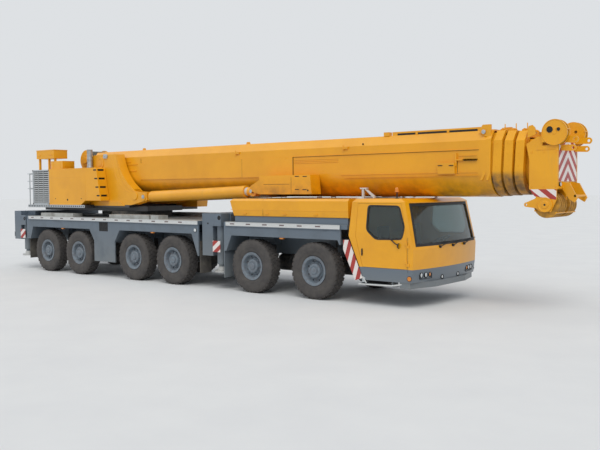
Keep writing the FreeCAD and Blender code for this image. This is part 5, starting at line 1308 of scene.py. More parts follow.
class CRANE_OT_head_details(bpy.types.Operator):
    """Rims and caps on the discs, bolts, rope guards and lamps of the boom head"""
    bl_idname = "crane.head_details"
    bl_label = "Head details"

    def execute(self, context):
        bm = bmesh.new()
        top, low = (9.08, 3.745), (8.89, 2.285)
        outer = [(-0.612, 0.262), (-0.612, 0.246), (-0.603, 0.246)]
        add_turned(bm, "y", (top[0], 0, top[1]), [(-0.603, 0.262)] + outer, steps=56)
        for spot, radius in (((8.985, 3.80), 0.078), ((9.165, 3.80), 0.048)):
            add_turned(bm, "y", (spot[0], 0, spot[1]), [
                (-0.603, radius), (-0.611, radius - 0.003), (-0.611, radius - 0.010),
                (-0.603, radius - 0.012)], steps=28)
        add_turned(bm, "y", (low[0], 0, low[1]), [
            (-0.587, 0.150), (-0.597, 0.150), (-0.597, 0.128), (-0.590, 0.124),
            (-0.590, 0.078), (-0.604, 0.072), (-0.604, 0.0)], steps=48)
        for step in range(6):
            angle = math.tau * (step + 0.5) / 6
            spot = (low[0] + 0.050 * math.cos(angle), low[1] + 0.050 * math.sin(angle))
            add_drum(bm, "y", (-0.611, -0.603), spot, 0.009, segments=6)
        add_plate(bm, "xz", [(8.50, 3.66), (8.67, 3.72), (8.66, 3.86), (8.60, 3.92),
                             (8.52, 3.90), (8.50, 3.82)], -0.545, -0.520)
        add_block(bm, (8.70, 9.10), (-0.568, -0.560), (3.40, 3.412))
        for x in (8.60, 8.85, 9.10):
            for z in (2.66, 3.36):
                add_drum(bm, "y", (-0.570, -0.559), (x, z), 0.015, segments=8)
        for x, z in ((8.665, 2.16), (9.10, 2.12)):
            add_drum(bm, "y", (-0.545, -0.02), (x, z), 0.016, segments=12)
        add_drum(bm, "y", (-0.60, -0.42), (9.33, 3.80), 0.014, segments=12)
        add_block(bm, (9.135, 9.160), (-0.54, -0.30), (2.62, 2.655))
        mirror_piece(bm)
        add_drum(bm, "y", (-0.30, 0.30), (9.40, 2.46), 0.026, segments=16)
        finish_piece("head_fittings", bm, "boom_section_4", [body_enamel()],
                     bevel=0.002)
        bm = bmesh.new()
        add_drum(bm, "y", (-0.6050, -0.6035), (8.985, 3.80), 0.066, segments=28)
        add_drum(bm, "y", (-0.6050, -0.6035), (9.165, 3.80), 0.038, segments=24)
        add_drum(bm, "y", (-0.6055, -0.6035), (8.89, 2.285), 0.022, segments=16)
        mirror_piece(bm)
        finish_piece("head_openings", bm, "boom_section_4", [dark_recess()])
        bm = bmesh.new()
        for y in (0.45, -0.45):
            add_drum(bm, "x", (9.138, 9.165), (y, 2.70), 0.045, segments=20)
            add_drum(bm, "x", (9.165, 9.172), (y, 2.70), 0.038, segments=20, material=1)
        finish_piece("head_lamps", bm, "boom_section_4", [black_rubber(), clear_lens()])
        return {"FINISHED"}


class CRANE_OT_column_details(bpy.types.Operator):
    """Pin keepers, bosses and weld edges on the turntable"""
    bl_idname = "crane.column_details"
    bl_label = "Column details"

    def execute(self, context):
        bm = bmesh.new()
        add_turned(bm, "y", (-3.23, 0, 2.44), [
            (-0.905, 0.118), (-0.972, 0.112), (-0.972, 0.070), (-0.958, 0.064)], steps=36)
        add_turned(bm, "y", (-3.62, 0, 2.47), [
            (-0.940, 0.125), (-0.975, 0.118), (-0.975, 0.02), (-0.975, 0.0)], steps=36)
        add_turned(bm, "y", (-5.30, 0, 3.50), [
            (-0.945, 0.190), (-0.968, 0.182), (-0.968, 0.115), (-0.953, 0.110)], steps=40)
        edge = [(-4.47, 3.74), (-4.29, 3.10), (-4.10, 2.86), (-3.86, 2.70), (-3.64, 2.61)]
        add_pipe(bm, [(x - 0.035, -0.951, z - 0.01) for x, z in edge], 0.010, segments=8)
        add_pipe(bm, [(x - 0.24, -0.951, z - 0.04) for x, z in edge], 0.007, segments=8)
        add_plate(bm, "xz", [(-5.66, 2.16), (-4.1, 2.16), (-4.3, 2.30), (-5.5, 2.30)], -0.965,
                  -0.945)
        add_drum(bm, "y", (-0.972, -0.944), (-5.30, 3.50), 0.106, segments=32)
        mirror_piece(bm)
        finish_piece("column_bosses", bm, "superstructure", [body_enamel()],
                     bevel=0.004)
        bm = bmesh.new()
        add_drum(bm, "y", (-0.978, -0.944), (-3.23, 2.44), 0.058, segments=28)
        add_plate(bm, "xz", [(-5.11, 3.64), (-4.93, 3.63), (-4.90, 3.72), (-4.97, 3.77),
                             (-5.09, 3.77)], -0.985, -0.949)
        add_drum(bm, "y", (-1.005, -0.985), (-5.04, 3.70), 0.022, segments=16)
        mirror_piece(bm)
        finish_piece("pin_keepers", bm, "superstructure", [zinc_steel()],
                     bevel=0.003)
        return {"FINISHED"}


class CRANE_OT_engine_house_details(bpy.types.Operator):
    """Radiator back, seams, handles, foothold linings, the exhaust and walkway edges"""
    bl_idname = "crane.engine_house_details"
    bl_label = "Engine house details"

    def execute(self, context):
        bm = bmesh.new()
        add_block(bm, (-8.53, -7.66), (-1.2225, -1.2205), (2.24, 3.28))
        for step in range(4):
            z = 2.45 + 0.265 * step
            x = -4.85 - (z - 2.325) * 0.195
            add_block(bm, (x - 0.069, x - 0.040), (-1.2495, -1.0105), (z + 0.001, z + 0.059))
            add_block(bm, (x - 0.16, x - 0.012), (-1.3012, -1.2985), (z + 0.008, z + 0.050))
        for x, z, radius in ((-7.245, 2.383, 0.018), (-6.576, 2.346, 0.034),
                             (-5.836, 2.386, 0.018)):
            add_drum(bm, "y", (-1.3015, -1.2985), (x, z), radius, segments=18)
        finish_piece("house_openings", bm, "superstructure", [dark_recess()])
        bm = bmesh.new()
        for side, sign in SIDES:
            for x in (-7.3, -6.7, -6.1, -5.4):
                ends = sorted((sign * 1.02, sign * 1.10))
                add_block(bm, (x, x + 0.05), ends, (3.348, 3.366))
            add_block(bm, (-7.50, -5.62), sorted((sign * 1.299, sign * 1.303)), (3.06, 3.066))
            add_block(bm, (-5.62, -5.612), sorted((sign * 1.299, sign * 1.303)), (2.36, 3.345))
        finish_piece("house_edges", bm, "superstructure", [body_enamel()],
                     bevel=0.002)
        bm = bmesh.new()
        for side, sign in SIDES:
            add_block(bm, (-8.86, -5.66), sorted((sign * 1.296, sign * 1.309)), (2.095, 2.182))
            for step in range(3):
                z = 2.72 + 0.25 * step
                add_pipe(bm, [(-8.60, sign * 1.285, z), (-8.60, sign * 1.325, z),
                              (-8.82, sign * 1.325, z), (-8.82, sign * 1.27, z)], 0.012,
                         segments=8)
        add_block(bm, (-8.595, -7.60), (-1.288, -1.279), (3.296, 3.338))
        add_block(bm, (-8.595, -7.60), (-1.288, -1.279), (2.18, 2.232))
        for x in (-8.595, -7.655):
            add_block(bm, (x, x + 0.055), (-1.288, -1.279), (2.18, 3.338))
        for x in (-8.27, -7.97):
            add_block(bm, (x, x + 0.012), (-1.284, -1.262), (2.232, 3.296))
        finish_piece("radiator_frame", bm, "superstructure", [zinc_steel()],
                     bevel=0.002)
        bm = bmesh.new()
        for side, sign in SIDES:
            for step in range(31):
                x = -8.82 + 0.102 * step
                add_block(bm, (x, x + 0.05), sorted((sign * 1.3085, sign * 1.3095)),
                          (2.118, 2.158))
        finish_piece("walkway_holes", bm, "superstructure", [dark_recess()])
        bm = bmesh.new()
        add_turned(bm, "z", (-5.70, -1.045, 0), [
            (3.352, 0.098), (3.40, 0.098), (3.42, 0.089), (3.90, 0.089), (3.93, 0.093),
            (3.93, 0.080), (3.86, 0.076), (3.86, 0.0)], steps=32)
        add_turned(bm, "z", (-5.70, -1.045, 0), [(3.60, 0.089), (3.605, 0.096), (3.635, 0.096),
                                                 (3.64, 0.089)], steps=32)
        finish_piece("exhaust_sleeve", bm, "superstructure", [exhaust_steel()])
        bm = bmesh.new()
        add_block(bm, (-8.296, -7.284), (-1.306, -0.784), (3.955, 3.990))
        add_block(bm, (-8.20, -8.05), (-1.316, -1.300), (3.80, 3.83))
        add_block(bm, (-7.53, -7.38), (-1.316, -1.300), (3.80, 3.83))
        for x in (-7.42, -7.02):
            add_block(bm, (x - 0.004, x + 0.004), (-1.246, -1.239), (3.37, 3.60))
        add_block(bm, (-6.905, -6.893), (-1.18, -0.86), (3.42, 3.56))
        finish_piece("upper_box_lid", bm, "superstructure", [body_enamel()],
                     bevel=0.005)
        return {"FINISHED"}


class CRANE_OT_winch_rope(bpy.types.Operator):
    """Layers of rope on the winch drum, its hub caps and the tie rods between its cheeks"""
    bl_idname = "crane.winch_rope"
    bl_label = "Winch rope"

    def execute(self, context):
        bm = bmesh.new()
        turns = 26
        wide = 0.62
        profile = [(-wide / 2, 0.281)]
        for step in range(turns):
            left = -wide / 2 + wide * step / turns
            third = wide / turns / 3
            profile += [(left + third * 0.5, 0.300), (left + third * 1.5, 0.306),
                        (left + third * 2.5, 0.300)]
        profile.append((wide / 2, 0.281))
        add_turned(bm, "y", (-6.82, 0, 3.64), profile, steps=40)
        finish_piece("winch_rope", bm, "superstructure", [wire_rope()])
        bm = bmesh.new()
        add_turned(bm, "y", (-6.82, 0, 3.64), [(-0.369, 0.200), (-0.400, 0.190),
                                               (-0.400, 0.120), (-0.440, 0.110),
                                               (-0.440, 0.0)], steps=32)
        for step in range(8):
            angle = math.tau * step / 8
            add_drum(bm, "y", (-0.412, -0.399), (-6.82 + 0.155 * math.cos(angle),
                                                 3.64 + 0.155 * math.sin(angle)), 0.014,
                     segments=6)
        mirror_piece(bm)
        for x in (-7.15, -6.49):
            add_drum(bm, "y", (-0.334, 0.334), (x, 2.34), 0.03, segments=14)
        finish_piece("winch_caps", bm, "superstructure", [body_enamel()],
                     bevel=0.003)
        return {"FINISHED"}


class CRANE_OT_carrier_details(bpy.types.Operator):
    """Edge strips with reflectors, tread plates, vents, lamps and the rear coupling"""
    bl_idname = "crane.carrier_details"
    bl_label = "Carrier details"

    def execute(self, context):
        strips, marks, treads = bmesh.new(), bmesh.new(), bmesh.new()
        for back, front in ((-8.545, -0.335), (0.725, 4.405)):
            add_block(strips, (back, front), (-1.506, -1.5), (1.700, 1.798))
            add_block(strips, (back, front), (-1.512, -1.49), (1.790, 1.801))
            for step in range(int((front - back) / 0.56)):
                x = back + 0.165 + step * 0.56
                add_block(marks, (x, x + 0.15), (-1.5085, -1.5055), (1.738, 1.768))
        for step in range(9):
            x = -8.4 + 0.98 * step
            add_block(strips, (x, x + 0.006), (-1.5075, -1.499), (1.70, 1.798))
        for back, front in ((-8.50, -5.96), (-2.84, -0.40)):
            add_block(treads, (back, front), (-1.47, -1.02), (1.80, 1.805))
            for step in range(int((front - back) / 0.62)):
                x = back + 0.62 * (step + 1)
                add_block(treads, (x, x + 0.008), (-1.47, -1.02), (1.805, 1.808))
        for back, front in ((-7.95, -6.15), (-4.30, -2.45), (-2.38, -2.04)):
            add_block(treads, (back, front), (-1.40, -1.05), (1.80, 1.915))
        for bm in (strips, marks, treads):
            mirror_piece(bm)
        finish_piece("deck_edge_strips", strips, "carrier", [mill_aluminium()],
                     bevel=0.002)
        finish_piece("edge_reflectors", marks, "carrier", [reflector_lens()])
        finish_piece("deck_tread_plates", treads, "carrier", [tread_plate()])
        bm = bmesh.new()
        for x in (-6.65, -2.25, 2.6):
            add_block(bm, (x - 0.06, x + 0.06), (-1.470, -1.400), (1.412, 1.448))
        add_drum(bm, "y", (-1.492, -1.480), (6.25, 0.676), 0.050, segments=24)
        mirror_piece(bm)
        finish_piece("side_marker_lamps", bm, "carrier", [amber_lens()], bevel=0.005)
        bm = bmesh.new()
        add_drum(bm, "y", (-1.494, -1.479), (-0.44, 1.55), 0.056, segments=24)
        add_drum(bm, "y", (-1.499, -1.494), (-0.44, 1.55), 0.046, segments=24, material=1)
        add_drum(bm, "y", (-1.488, -1.479), (6.25, 0.676), 0.060, segments=24)
        mirror_piece(bm)
        finish_piece("round_lamps", bm, "carrier", [black_rubber(), clear_lens()],
                     bevel=0.002)
        bm = bmesh.new()
        for step in range(7):
            z = 1.43 + step * 0.032
            made = add_block(bm, (-4.68, -4.29), (-1.4815, -1.4765), (z, z + 0.010))
            bmesh.ops.rotate(bm, matrix=Matrix.Rotation(math.radians(24), 3, "X"), verts=made,
                             cent=(0, -1.479, z + 0.009))
        for x in (-8.0, -5.6, -3.6, -0.9, 0.9, 1.95, 3.2):
            for z in (1.52, 1.64):
                add_drum(bm, "y", (-1.4845, -1.479), (x, z), 0.012, segments=8)
        for x in (-6.9, -2.5, 1.0, 3.9):
            add_block(bm, (x, x + 0.10), (-1.489, -1.480), (1.645, 1.662))
        mirror_piece(bm)
        finish_piece("skirt_fittings", bm, "carrier", [chassis_enamel()],
                     bevel=0.002)
        bm = bmesh.new()
        add_block(bm, (-4.70, -4.27), (-1.4810, -1.4785), (1.40, 1.68))
        for x in (-0.02, 0.24):
            add_block(bm, (x, x + 0.05), (-1.4412, -1.4385), (1.72, 1.76))
        mirror_piece(bm)
        finish_piece("skirt_openings", bm, "carrier", [dark_recess()])
        bm = bmesh.new()
        for x, front in ((-8.62, 0), (-0.345, 0)):
            for step in range(7):
                y = -1.40 + 0.06 * step
                add_block(bm, (x + 0.018, x + 0.022), (y, y + 0.02), (0.44, 1.10))
            add_block(bm, (x, x + 0.018), (-1.42, -1.0), (0.38, 1.25))
            add_block(bm, (x - 0.006, x + 0.024), (-1.43, -0.99), (1.19, 1.25))
        mirror_piece(bm)
        finish_piece("mudflaps", bm, "carrier", [dusty_rubber()], bevel=0.002)
        bm = bmesh.new()
        back = -9.50
        add_block(bm, (back - 0.012, back), (-1.45, -0.93), (1.085, 1.245))
        for step, kind in enumerate((1, 2, 1, 3)):
            y = -1.39 + 0.13 * step
            add_drum(bm, "x", (back - 0.026, back - 0.010), (y, 1.165), 0.052, segments=20,
                     material=kind)
        for y in (-0.62, -0.84):
            add_block(bm, (back - 0.010, back), (y - 0.05, y + 0.05), (1.06, 1.13), material=1)
        mirror_piece(bm)
        finish_piece("rear_lamps", bm, "carrier",
                     [black_rubber(), red_lens(), amber_lens(), clear_lens()],
                     bevel=0.003)
        bm = bmesh.new()
        add_block(bm, (back - 0.03, back), (-0.22, 0.22), (1.10, 1.44))
        for y in (-0.16, 0.16):
            for z in (1.15, 1.39):
                add_drum(bm, "x", (back - 0.046, back - 0.03), (y, z), 0.020, segments=6)
        add_turned(bm, "x", (back, 0, 1.27), [(-0.03, 0.085), (-0.075, 0.075), (-0.075, 0.03),
                                              (-0.03, 0.03)], steps=28)
        for step in range(5):
            z = 1.48 + 0.10 * step
            add_block(bm, (back - 0.016, back - 0.004), (0.60, 0.96), (z, z + 0.022))
        for y in (0.59, 0.955):
            add_block(bm, (back - 0.018, back), (y, y + 0.02), (1.44, 1.93))
        finish_piece("rear_coupling", bm, "carrier", [axle_paint()], bevel=0.003)
        return {"FINISHED"}


class CRANE_OT_outrigger_details(bpy.types.Operator):
    """Weld seams, bolts and a dark round opening on the beams of the four stands"""
    bl_idname = "crane.outrigger_details"
    bl_label = "Outrigger details"

    def execute(self, context):
        for end in ("front", "rear"):
            for side, sign in SIDES:
                body = f"outrigger_beam_{end}_{side}"
                low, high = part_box(body)
                x = (low[0] + high[0]) / 2
                wide = high[0] - low[0]
                bm = bmesh.new()
                for level in (1.42, 1.60):
                    add_block(bm, (low[0] - 0.002, low[0] + wide / 6),
                              sorted((sign * 1.4895, sign * 1.494)), (level, level + 0.014))
                for spot in (-0.12, 0.12):
                    for z in (1.36, 1.72):
                        add_drum(bm, "y", sorted((sign * 1.488, sign * 1.497)),
                                 (x + spot, z), 0.014, segments=6)
                edge = high[1] if sign > 0 else -low[1]
                hole = (high[0] - 0.065, high[2] - 0.11)
                add_drum(bm, "y", sorted((sign * (edge - 0.004), sign * (edge + 0.0015))), hole,
                         0.060, segments=28, material=1)
                finish_piece(f"jack_fittings_{end}_{side}", bm, body,
                             [chassis_enamel(), dark_recess()], bevel=0.002)
        return {"FINISHED"}


class CRANE_OT_hood_details(bpy.types.Operator):
    """Crease lines, seams, locks and grab bars of the engine hood"""
    bl_idname = "crane.hood_details"
    bl_label = "Hood details"

    def execute(self, context):
        bm = bmesh.new()
        add_block(bm, (0.86, 4.58), (-1.4435, -1.436), (2.112, 2.124))
        for x in (1.30, 2.05, 2.62, 3.60):
            add_block(bm, (x, x + 0.12), (-1.452, -1.437), (2.012, 2.036))
        mirror_piece(bm)
        for x in (1.20, 2.90):
            for y in (-0.30, 0.30):
                add_pipe(bm, [(x, y - 0.09, 2.398), (x, y - 0.09, 2.43), (x, y + 0.09, 2.43),
                              (x, y + 0.09, 2.398)], 0.010, segments=8)
        finish_piece("hood_creases", bm, "carrier", [hood_enamel()],
                     bevel=0.002)
        bm = bmesh.new()
        add_block(bm, (1.977, 1.983), (-1.4415, -1.4385), (1.965, 2.115))
        made = add_block(bm, (1.977, 1.983), (-1.4415, -1.4385), (2.120, 2.385))
        upper = [vert for vert in made if vert.co.z > 2.3]
        bmesh.ops.translate(bm, vec=(0, 0.014, 0), verts=upper)
        add_block(bm, (0.86, 4.58), (-1.4415, -1.4385), (1.957, 1.964))
        add_block(bm, (1.10, 1.18), (-1.4300, -1.4250), (2.338, 2.352))
        mirror_piece(bm)
        add_block(bm, (1.977, 1.983), (-1.40, 1.40), (2.3985, 2.4015))
        for step in range(12):
            x = 1.35 + step * 0.06
            add_block(bm, (x, x + 0.03), (-0.75, 0.75), (2.3985, 2.4025))
        finish_piece("hood_seams", bm, "carrier", [dark_recess()])
        return {"FINISHED"}


class CRANE_OT_boom_rest_details(bpy.types.Operator):
    """The two horns that guard the resting boom, with their posts and sloping plates"""
    bl_idname = "crane.boom_rest_details"
    bl_label = "Boom rest"

    def execute(self, context):
        bm = bmesh.new()
        add_block(bm, (4.635, 4.690), (-0.93, -0.87), (2.402, 2.640))
        add_block(bm, (4.505, 4.700), (-0.95, -0.84), (2.400, 2.416))
        add_block(bm, (4.590, 4.775), (-0.94, -0.86), (2.628, 2.660))
        add_plate(bm, "xz", [(4.69, 2.645), (4.715, 2.655), (4.985, 2.465), (4.985, 2.415),
                             (4.955, 2.415)], -0.93, -0.87)
        mirror_piece(bm)
        for y in (-0.7, -0.25, 0.25, 0.7):
            add_drum(bm, "z", (2.430, 2.446), (4.545, y), 0.018, segments=6)
        finish_piece("boom_rest_horns", bm, "carrier", [mill_aluminium()],
                     bevel=0.003)
        bm = bmesh.new()
        add_block(bm, (4.515, 4.575), (-0.62, -0.12), (2.432, 2.4385))
        mirror_piece(bm)
        finish_piece("boom_rest_pads", bm, "carrier", [black_rubber()], bevel=0.002)
        return {"FINISHED"}


DOOR_WINDOW = [(5.14, 1.72), (5.18, 2.25), (5.975, 2.24), (6.11, 1.79), (6.05, 1.54),
               (5.38, 1.52)]
SCREEN = [(-1.34, 1.42), (1.34, 1.42), (1.28, 2.26), (-1.28, 2.26)]


def screen_loop(out_y, out_z, out):
    """Points round the windscreen, spread evenly so that they follow its bow."""
    middle, points = Vector((0, 1.84)), []
    for start, end in zip(SCREEN, SCREEN[1:] + SCREEN[:1]):
        for step in range(10):
            spot = Vector(start).lerp(Vector(end), step / 10) - middle
            points.append(on_cab_front(middle.x + spot.x * out_y, middle.y + spot.y * out_z,
                                       out))
    return points


class CRANE_OT_cab_trim(bpy.types.Operator):
    """Window rubbers, the windscreen's border, visor line, wipers and door handles"""
    bl_idname = "crane.cab_trim"
    bl_label = "Cab trim"

    def execute(self, context):
        for side, sign in SIDES:
            bm = bmesh.new()
            outer = rounded(grown(DOOR_WINDOW, 0.026), 0.09)
            inner = rounded(grown(DOOR_WINDOW, -0.012), 0.06)
            add_band(bm, [on_cab_side(x, z, sign, 0.003) for x, z in outer],
                     [on_cab_side(x, z, sign, 0.003) for x, z in inner], 0.009)
            add_pipe(bm, [on_cab_side(5.015, z, sign, out) for z, out in
                          ((1.13, -0.002), (1.145, 0.020), (1.27, 0.020), (1.285, -0.002))],
                     0.011)
            add_block(bm, (4.998, 5.032), sorted((sign * 1.479, sign * 1.4835)), (1.15, 1.265))
            finish_piece(f"door_trim_{side}", bm, f"cab_door_{side}", [black_rubber()])
        bm = bmesh.new()
        add_band(bm, screen_loop(1.035, 1.12, 0.004), screen_loop(0.985, 0.965, 0.004), 0.012)
        for sign in (-1, 1):
            add_pipe(bm, [on_cab_side(6.21, z, sign, -0.001) for z in (0.80, 1.05, 1.31, 1.57)],
                     0.004, segments=6)
        finish_piece("windscreen_surround", bm, "carrier", [black_rubber()])
        bm = bmesh.new()
        outer = [on_cab_front(-1.30 + 0.26 * step, 2.325, 0.030) for step in range(11)]
        inner = [on_cab_front(-1.30 + 0.26 * step, 2.372, 0.014) for step in range(11)]
        add_band(bm, outer + list(reversed(inner)),
                 [spot.lerp(other, 0.5) for spot, other in
                  zip(outer + list(reversed(inner)), list(inner) + list(reversed(outer)))],
                 0.01)
        finish_piece("roof_visor", bm, "carrier", [cab_enamel()], bevel=0.003)
        bm = bmesh.new()
        for start in (-0.55, 0.01, 0.60):
            base = on_cab_front(start, 1.335, 0.032)
            tip = on_cab_front(start + 0.52, 1.420, 0.030)
            add_drum(bm, "x", (base.x - 0.04, base.x + 0.012), (base.y, base.z), 0.030,
                     segments=16)
            add_pipe(bm, [base, (base + tip) / 2 + Vector((0.02, 0, 0.02)), tip], 0.011,
                     segments=8)
            add_pipe(bm, [on_cab_front(start + 0.10 + 0.19 * step, 1.432, 0.020)
                          for step in range(5)], 0.009, segments=6)
        finish_piece("wipers", bm, "carrier", [black_rubber()])
        bm = bmesh.new()
        for sign in (-1, 1):
            add_block(bm, (5.02, 5.10), sorted((sign * 1.481, sign * 1.491)), (0.53, 0.64))
        finish_piece("cab_fasteners", bm, "carrier", [zinc_steel()])
        return {"FINISHED"}


class CRANE_OT_cab_lamps(bpy.types.Operator):
    """Headlamps, indicators, the beacons, the mirrors and the bars of the steps"""
    bl_idname = "crane.cab_lamps"
    bl_label = "Cab lamps"

    def execute(self, context):
        bm = bmesh.new()
        for sign in (-1, 1):
            for y, z, radius, kind in ((1.175, 0.737, 0.055, 1), (1.02, 0.737, 0.055, 1),
                                       (0.88, 0.737, 0.045, 2), (0.375, 0.64, 0.045, 1)):
                spot = on_cab_front(sign * y, z, 0.0)
                add_turned(bm, "x", (spot.x, spot.y, spot.z), [
                    (-0.03, radius + 0.010), (0.014, radius + 0.010), (0.018, radius + 0.004),
                    (0.006, radius)], steps=24)
                add_turned(bm, "x", (spot.x, spot.y, spot.z), [
                    (0.0, radius + 0.002), (0.006, radius * 0.9), (0.012, radius * 0.5),
                    (0.014, 0.0)], steps=24, material=kind)
            spots = [on_cab_front(sign * (0.80 + 0.145 * step), 0.737, 0.004)
                     for step in range(4)]
            outer = [spot + Vector((0, 0, 0.09)) for spot in spots]
            inner = [spot - Vector((0, 0, 0.09)) for spot in spots]
            add_band(bm, outer + list(reversed(inner)),
                     [spot.lerp(sum(outer + inner, Vector()) / 8, 0.10)
                      for spot in outer + list(reversed(inner))], 0.006)
        finish_piece("front_lamps", bm, "carrier",
                     [black_rubber(), clear_lens(), amber_lens()])
        bm = bmesh.new()
        for sign in (-1, 1):
            add_drum(bm, "z", (2.395, 2.42), (5.58, sign * 0.9), 0.045, segments=20)
            add_drum(bm, "z", (2.42, 2.56), (5.58, sign * 0.9), 0.016, segments=16)
            add_turned(bm, "z", (5.58, sign * 0.9, 0), [
                (2.555, 0.050), (2.575, 0.052), (2.58, 0.044), (2.64, 0.042), (2.66, 0.034),
                (2.67, 0.0)], steps=24, material=1)
        finish_piece("roof_beacons", bm, "carrier", [black_rubber(), amber_lens()],
                     bevel=0.002)
        bm = bmesh.new()
        add_pipe(bm, [(4.91, -1.46, 0.475), (5.80, -1.46, 0.49), (6.02, -1.455, 0.53),
                      (6.13, -1.44, 0.567)], 0.020)
        add_plate(bm, "xz", [(5.02, 0.66), (5.04, 0.665), (5.145, 0.515), (5.12, 0.50)],
                  -1.492, -1.481)
        mirror_piece(bm)
        finish_piece("step_bars", bm, "carrier", [mill_aluminium()], bevel=0.002)
        bm = bmesh.new()
        add_pipe(bm, [(5.80, -1.478, 1.51), (5.86, -1.512, 1.47), (5.92, -1.520, 1.43),
                      (5.98, -1.505, 1.405)], 0.013, segments=10)
        add_ball(bm, (5.80, -1.482, 1.51), 0.024)
        add_turned(bm, "x", (5.99, -1.490, 1.385), [(-0.03, 0.0), (-0.02, 0.05),
                                                    (0.0, 0.062), (0.012, 0.056)], steps=20)
        mirror_piece(bm)
        finish_piece("mirrors", bm, "carrier", [black_rubber()], bevel=0.004)
        return {"FINISHED"}


class CRANE_OT_crane_cab_trim(bpy.types.Operator):
    """Window rubbers, wiper, grab rails and roof lamp of the operator's cab"""
    bl_idname = "crane.crane_cab_trim"
    bl_label = "Operator's cab trim"

    def execute(self, context):
        bm = bmesh.new()
        window = [(-4.20, 2.90), (-4.20, 3.65), (-3.68, 3.65), (-3.68, 2.90)]
        outer = rounded(grown(window, 0.02), 0.07)
        inner = rounded(grown(window, -0.012), 0.05)
        y = 1.488
        add_band(bm, [(x, y, z) for x, z in outer], [(x, y, z) for x, z in inner], 0.008)
        add_pipe(bm, [(-4.24, y, 2.56), (-4.24, y + 0.03, 2.58), (-4.24, y + 0.03, 2.80),
                      (-4.24, y, 2.82)], 0.012)
        add_block(bm, (-4.29, -4.19), (y, y + 0.006), (2.42, 2.50))
        finish_piece("crane_door_trim", bm, "crane_cab_door", [black_rubber()])
        bm = bmesh.new()
        bars = (((-3.50, 3.88), (-3.08, 3.40)), ((-3.08, 3.40), (-2.90, 2.75)),
                ((-2.90, 2.75), (-2.935, 2.50)))
        for start, end in bars:
            for y in (1.045, 1.405):
                add_pipe(bm, [(start[0], y, start[1] - 0.02), (end[0], y, end[1] - 0.02)],
                         0.013, segments=8)
        add_pipe(bm, [(-2.915, 1.22, 2.62), (-2.90, 1.24, 2.78), (-2.955, 1.26, 2.98)], 0.009,
                 segments=8)
        add_drum(bm, "y", (1.19, 1.25), (-2.915, 2.60), 0.022, segments=14)
        finish_piece("crane_cab_rubbers", bm, "superstructure", [black_rubber()])
        bm = bmesh.new()
        rail_x = -3.53
        add_pipe(bm, [(rail_x, 1.448, 2.55), (rail_x, 1.490, 2.60), (rail_x, 1.490, 3.30),
                      (rail_x, 1.448, 3.35)], 0.012, segments=10)
        add_pipe(bm, [(-4.70, 1.06, 3.878), (-4.70, 1.06, 3.93), (-3.60, 1.06, 3.93),
                      (-3.60, 1.06, 3.878)], 0.011, segments=10)
        finish_piece("crane_cab_rails", bm, "superstructure", [zinc_steel()])
        bm = bmesh.new()
        add_block(bm, (-3.56, -3.50), (1.10, 1.20), (3.875, 3.945))
        add_drum(bm, "x", (-3.50, -3.490), (1.15, 3.91), 0.032, segments=18, material=1)
        finish_piece("crane_cab_lamp", bm, "superstructure", [black_rubber(), clear_lens()],
                     bevel=0.004)
        return {"FINISHED"}


def swell(piece, most):
    """Blows a pad up by cloth simulation, no point further than most, its sole kept flat."""
    scene = bpy.context.scene
    rest = [vert.co.copy() for vert in piece.data.vertices]
    sole = min(spot.z for spot in rest) + 0.006
    cloth = piece.modifiers.new("filling", "CLOTH")
    cloth.settings.use_pressure = True
    cloth.settings.uniform_pressure_force = 4
    cloth.settings.effector_weights.gravity = 0
    for number in range(1, 21):
        scene.frame_set(number)
    blown = piece.evaluated_get(bpy.context.evaluated_depsgraph_get()).to_mesh()
    steps = [vert.co - spot for vert, spot in zip(blown.vertices, rest)]
    piece.modifiers.remove(cloth)
    for vert, spot, step in zip(piece.data.vertices, rest, steps):
        if spot.z > sole:
            vert.co = spot + step * min(1, most / max(step.length, 1e-6))
    scene.frame_set(1)


def seat_pad(name, body, corners, lean, replaces, seams):
    """A padded cushion between two corners, leaned about Y, with sewn channels across it."""
    low, high = Vector(corners[0]), Vector(corners[1])
    span, middle = high - low, (low + high) / 2
    bm = bmesh.new()
    made = bmesh.ops.create_cube(bm, size=1)["verts"]
    bmesh.ops.scale(bm, vec=span - Vector((0.02, 0.02, 0.016)), verts=made)
    bmesh.ops.bevel(bm, geom=bm.edges[:], offset=min(span) * 0.34, offset_type="OFFSET",
                    affect="EDGES", segments=5, profile=0.5, material=-1)
    mesh = bpy.data.meshes.new(name)
    bm.to_mesh(mesh)
    bm.free()
    piece = bpy.data.objects.new(name, mesh)
    bpy.context.scene.collection.objects.link(piece)
    even = piece.modifiers.new("even", "REMESH")
    even.voxel_size = 0.006 if min(span) < 0.2 else 0.012
    graph = bpy.context.evaluated_depsgraph_get()
    fine = bpy.data.meshes.new_from_object(piece.evaluated_get(graph))
    piece.modifiers.clear()
    piece.data = fine
    swell(piece, 0.010)
    thin = min(range(3), key=lambda axis: span[axis])
    along = max((axis for axis in (0, 2)), key=lambda axis: span[axis])
    for vert in fine.vertices:
        face = abs(vert.co[thin]) / (span[thin] / 2)
        near = min((abs(vert.co[along] - seam * span[along]) for seam in seams), default=1)
        near = min(near, abs(abs(vert.co.y) - span.y * 0.33))
        dent = 0.008 * math.exp(-(near / 0.007) ** 2) * max(0, face - 0.4)
        vert.co[thin] -= math.copysign(dent, vert.co[thin])
    turn = Matrix.Translation(middle) @ Matrix.Rotation(math.radians(lean), 4, "Y")
    fine.transform(turn)
    for face in fine.polygons:
        face.use_smooth = True
    smooth = piece.modifiers.new("smooth", "SUBSURF")
    smooth.levels = smooth.render_levels = 1
    fine.materials.clear()
    fine.materials.append(seat_fabric())
    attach(piece, body)
    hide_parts(replaces)
    return piece


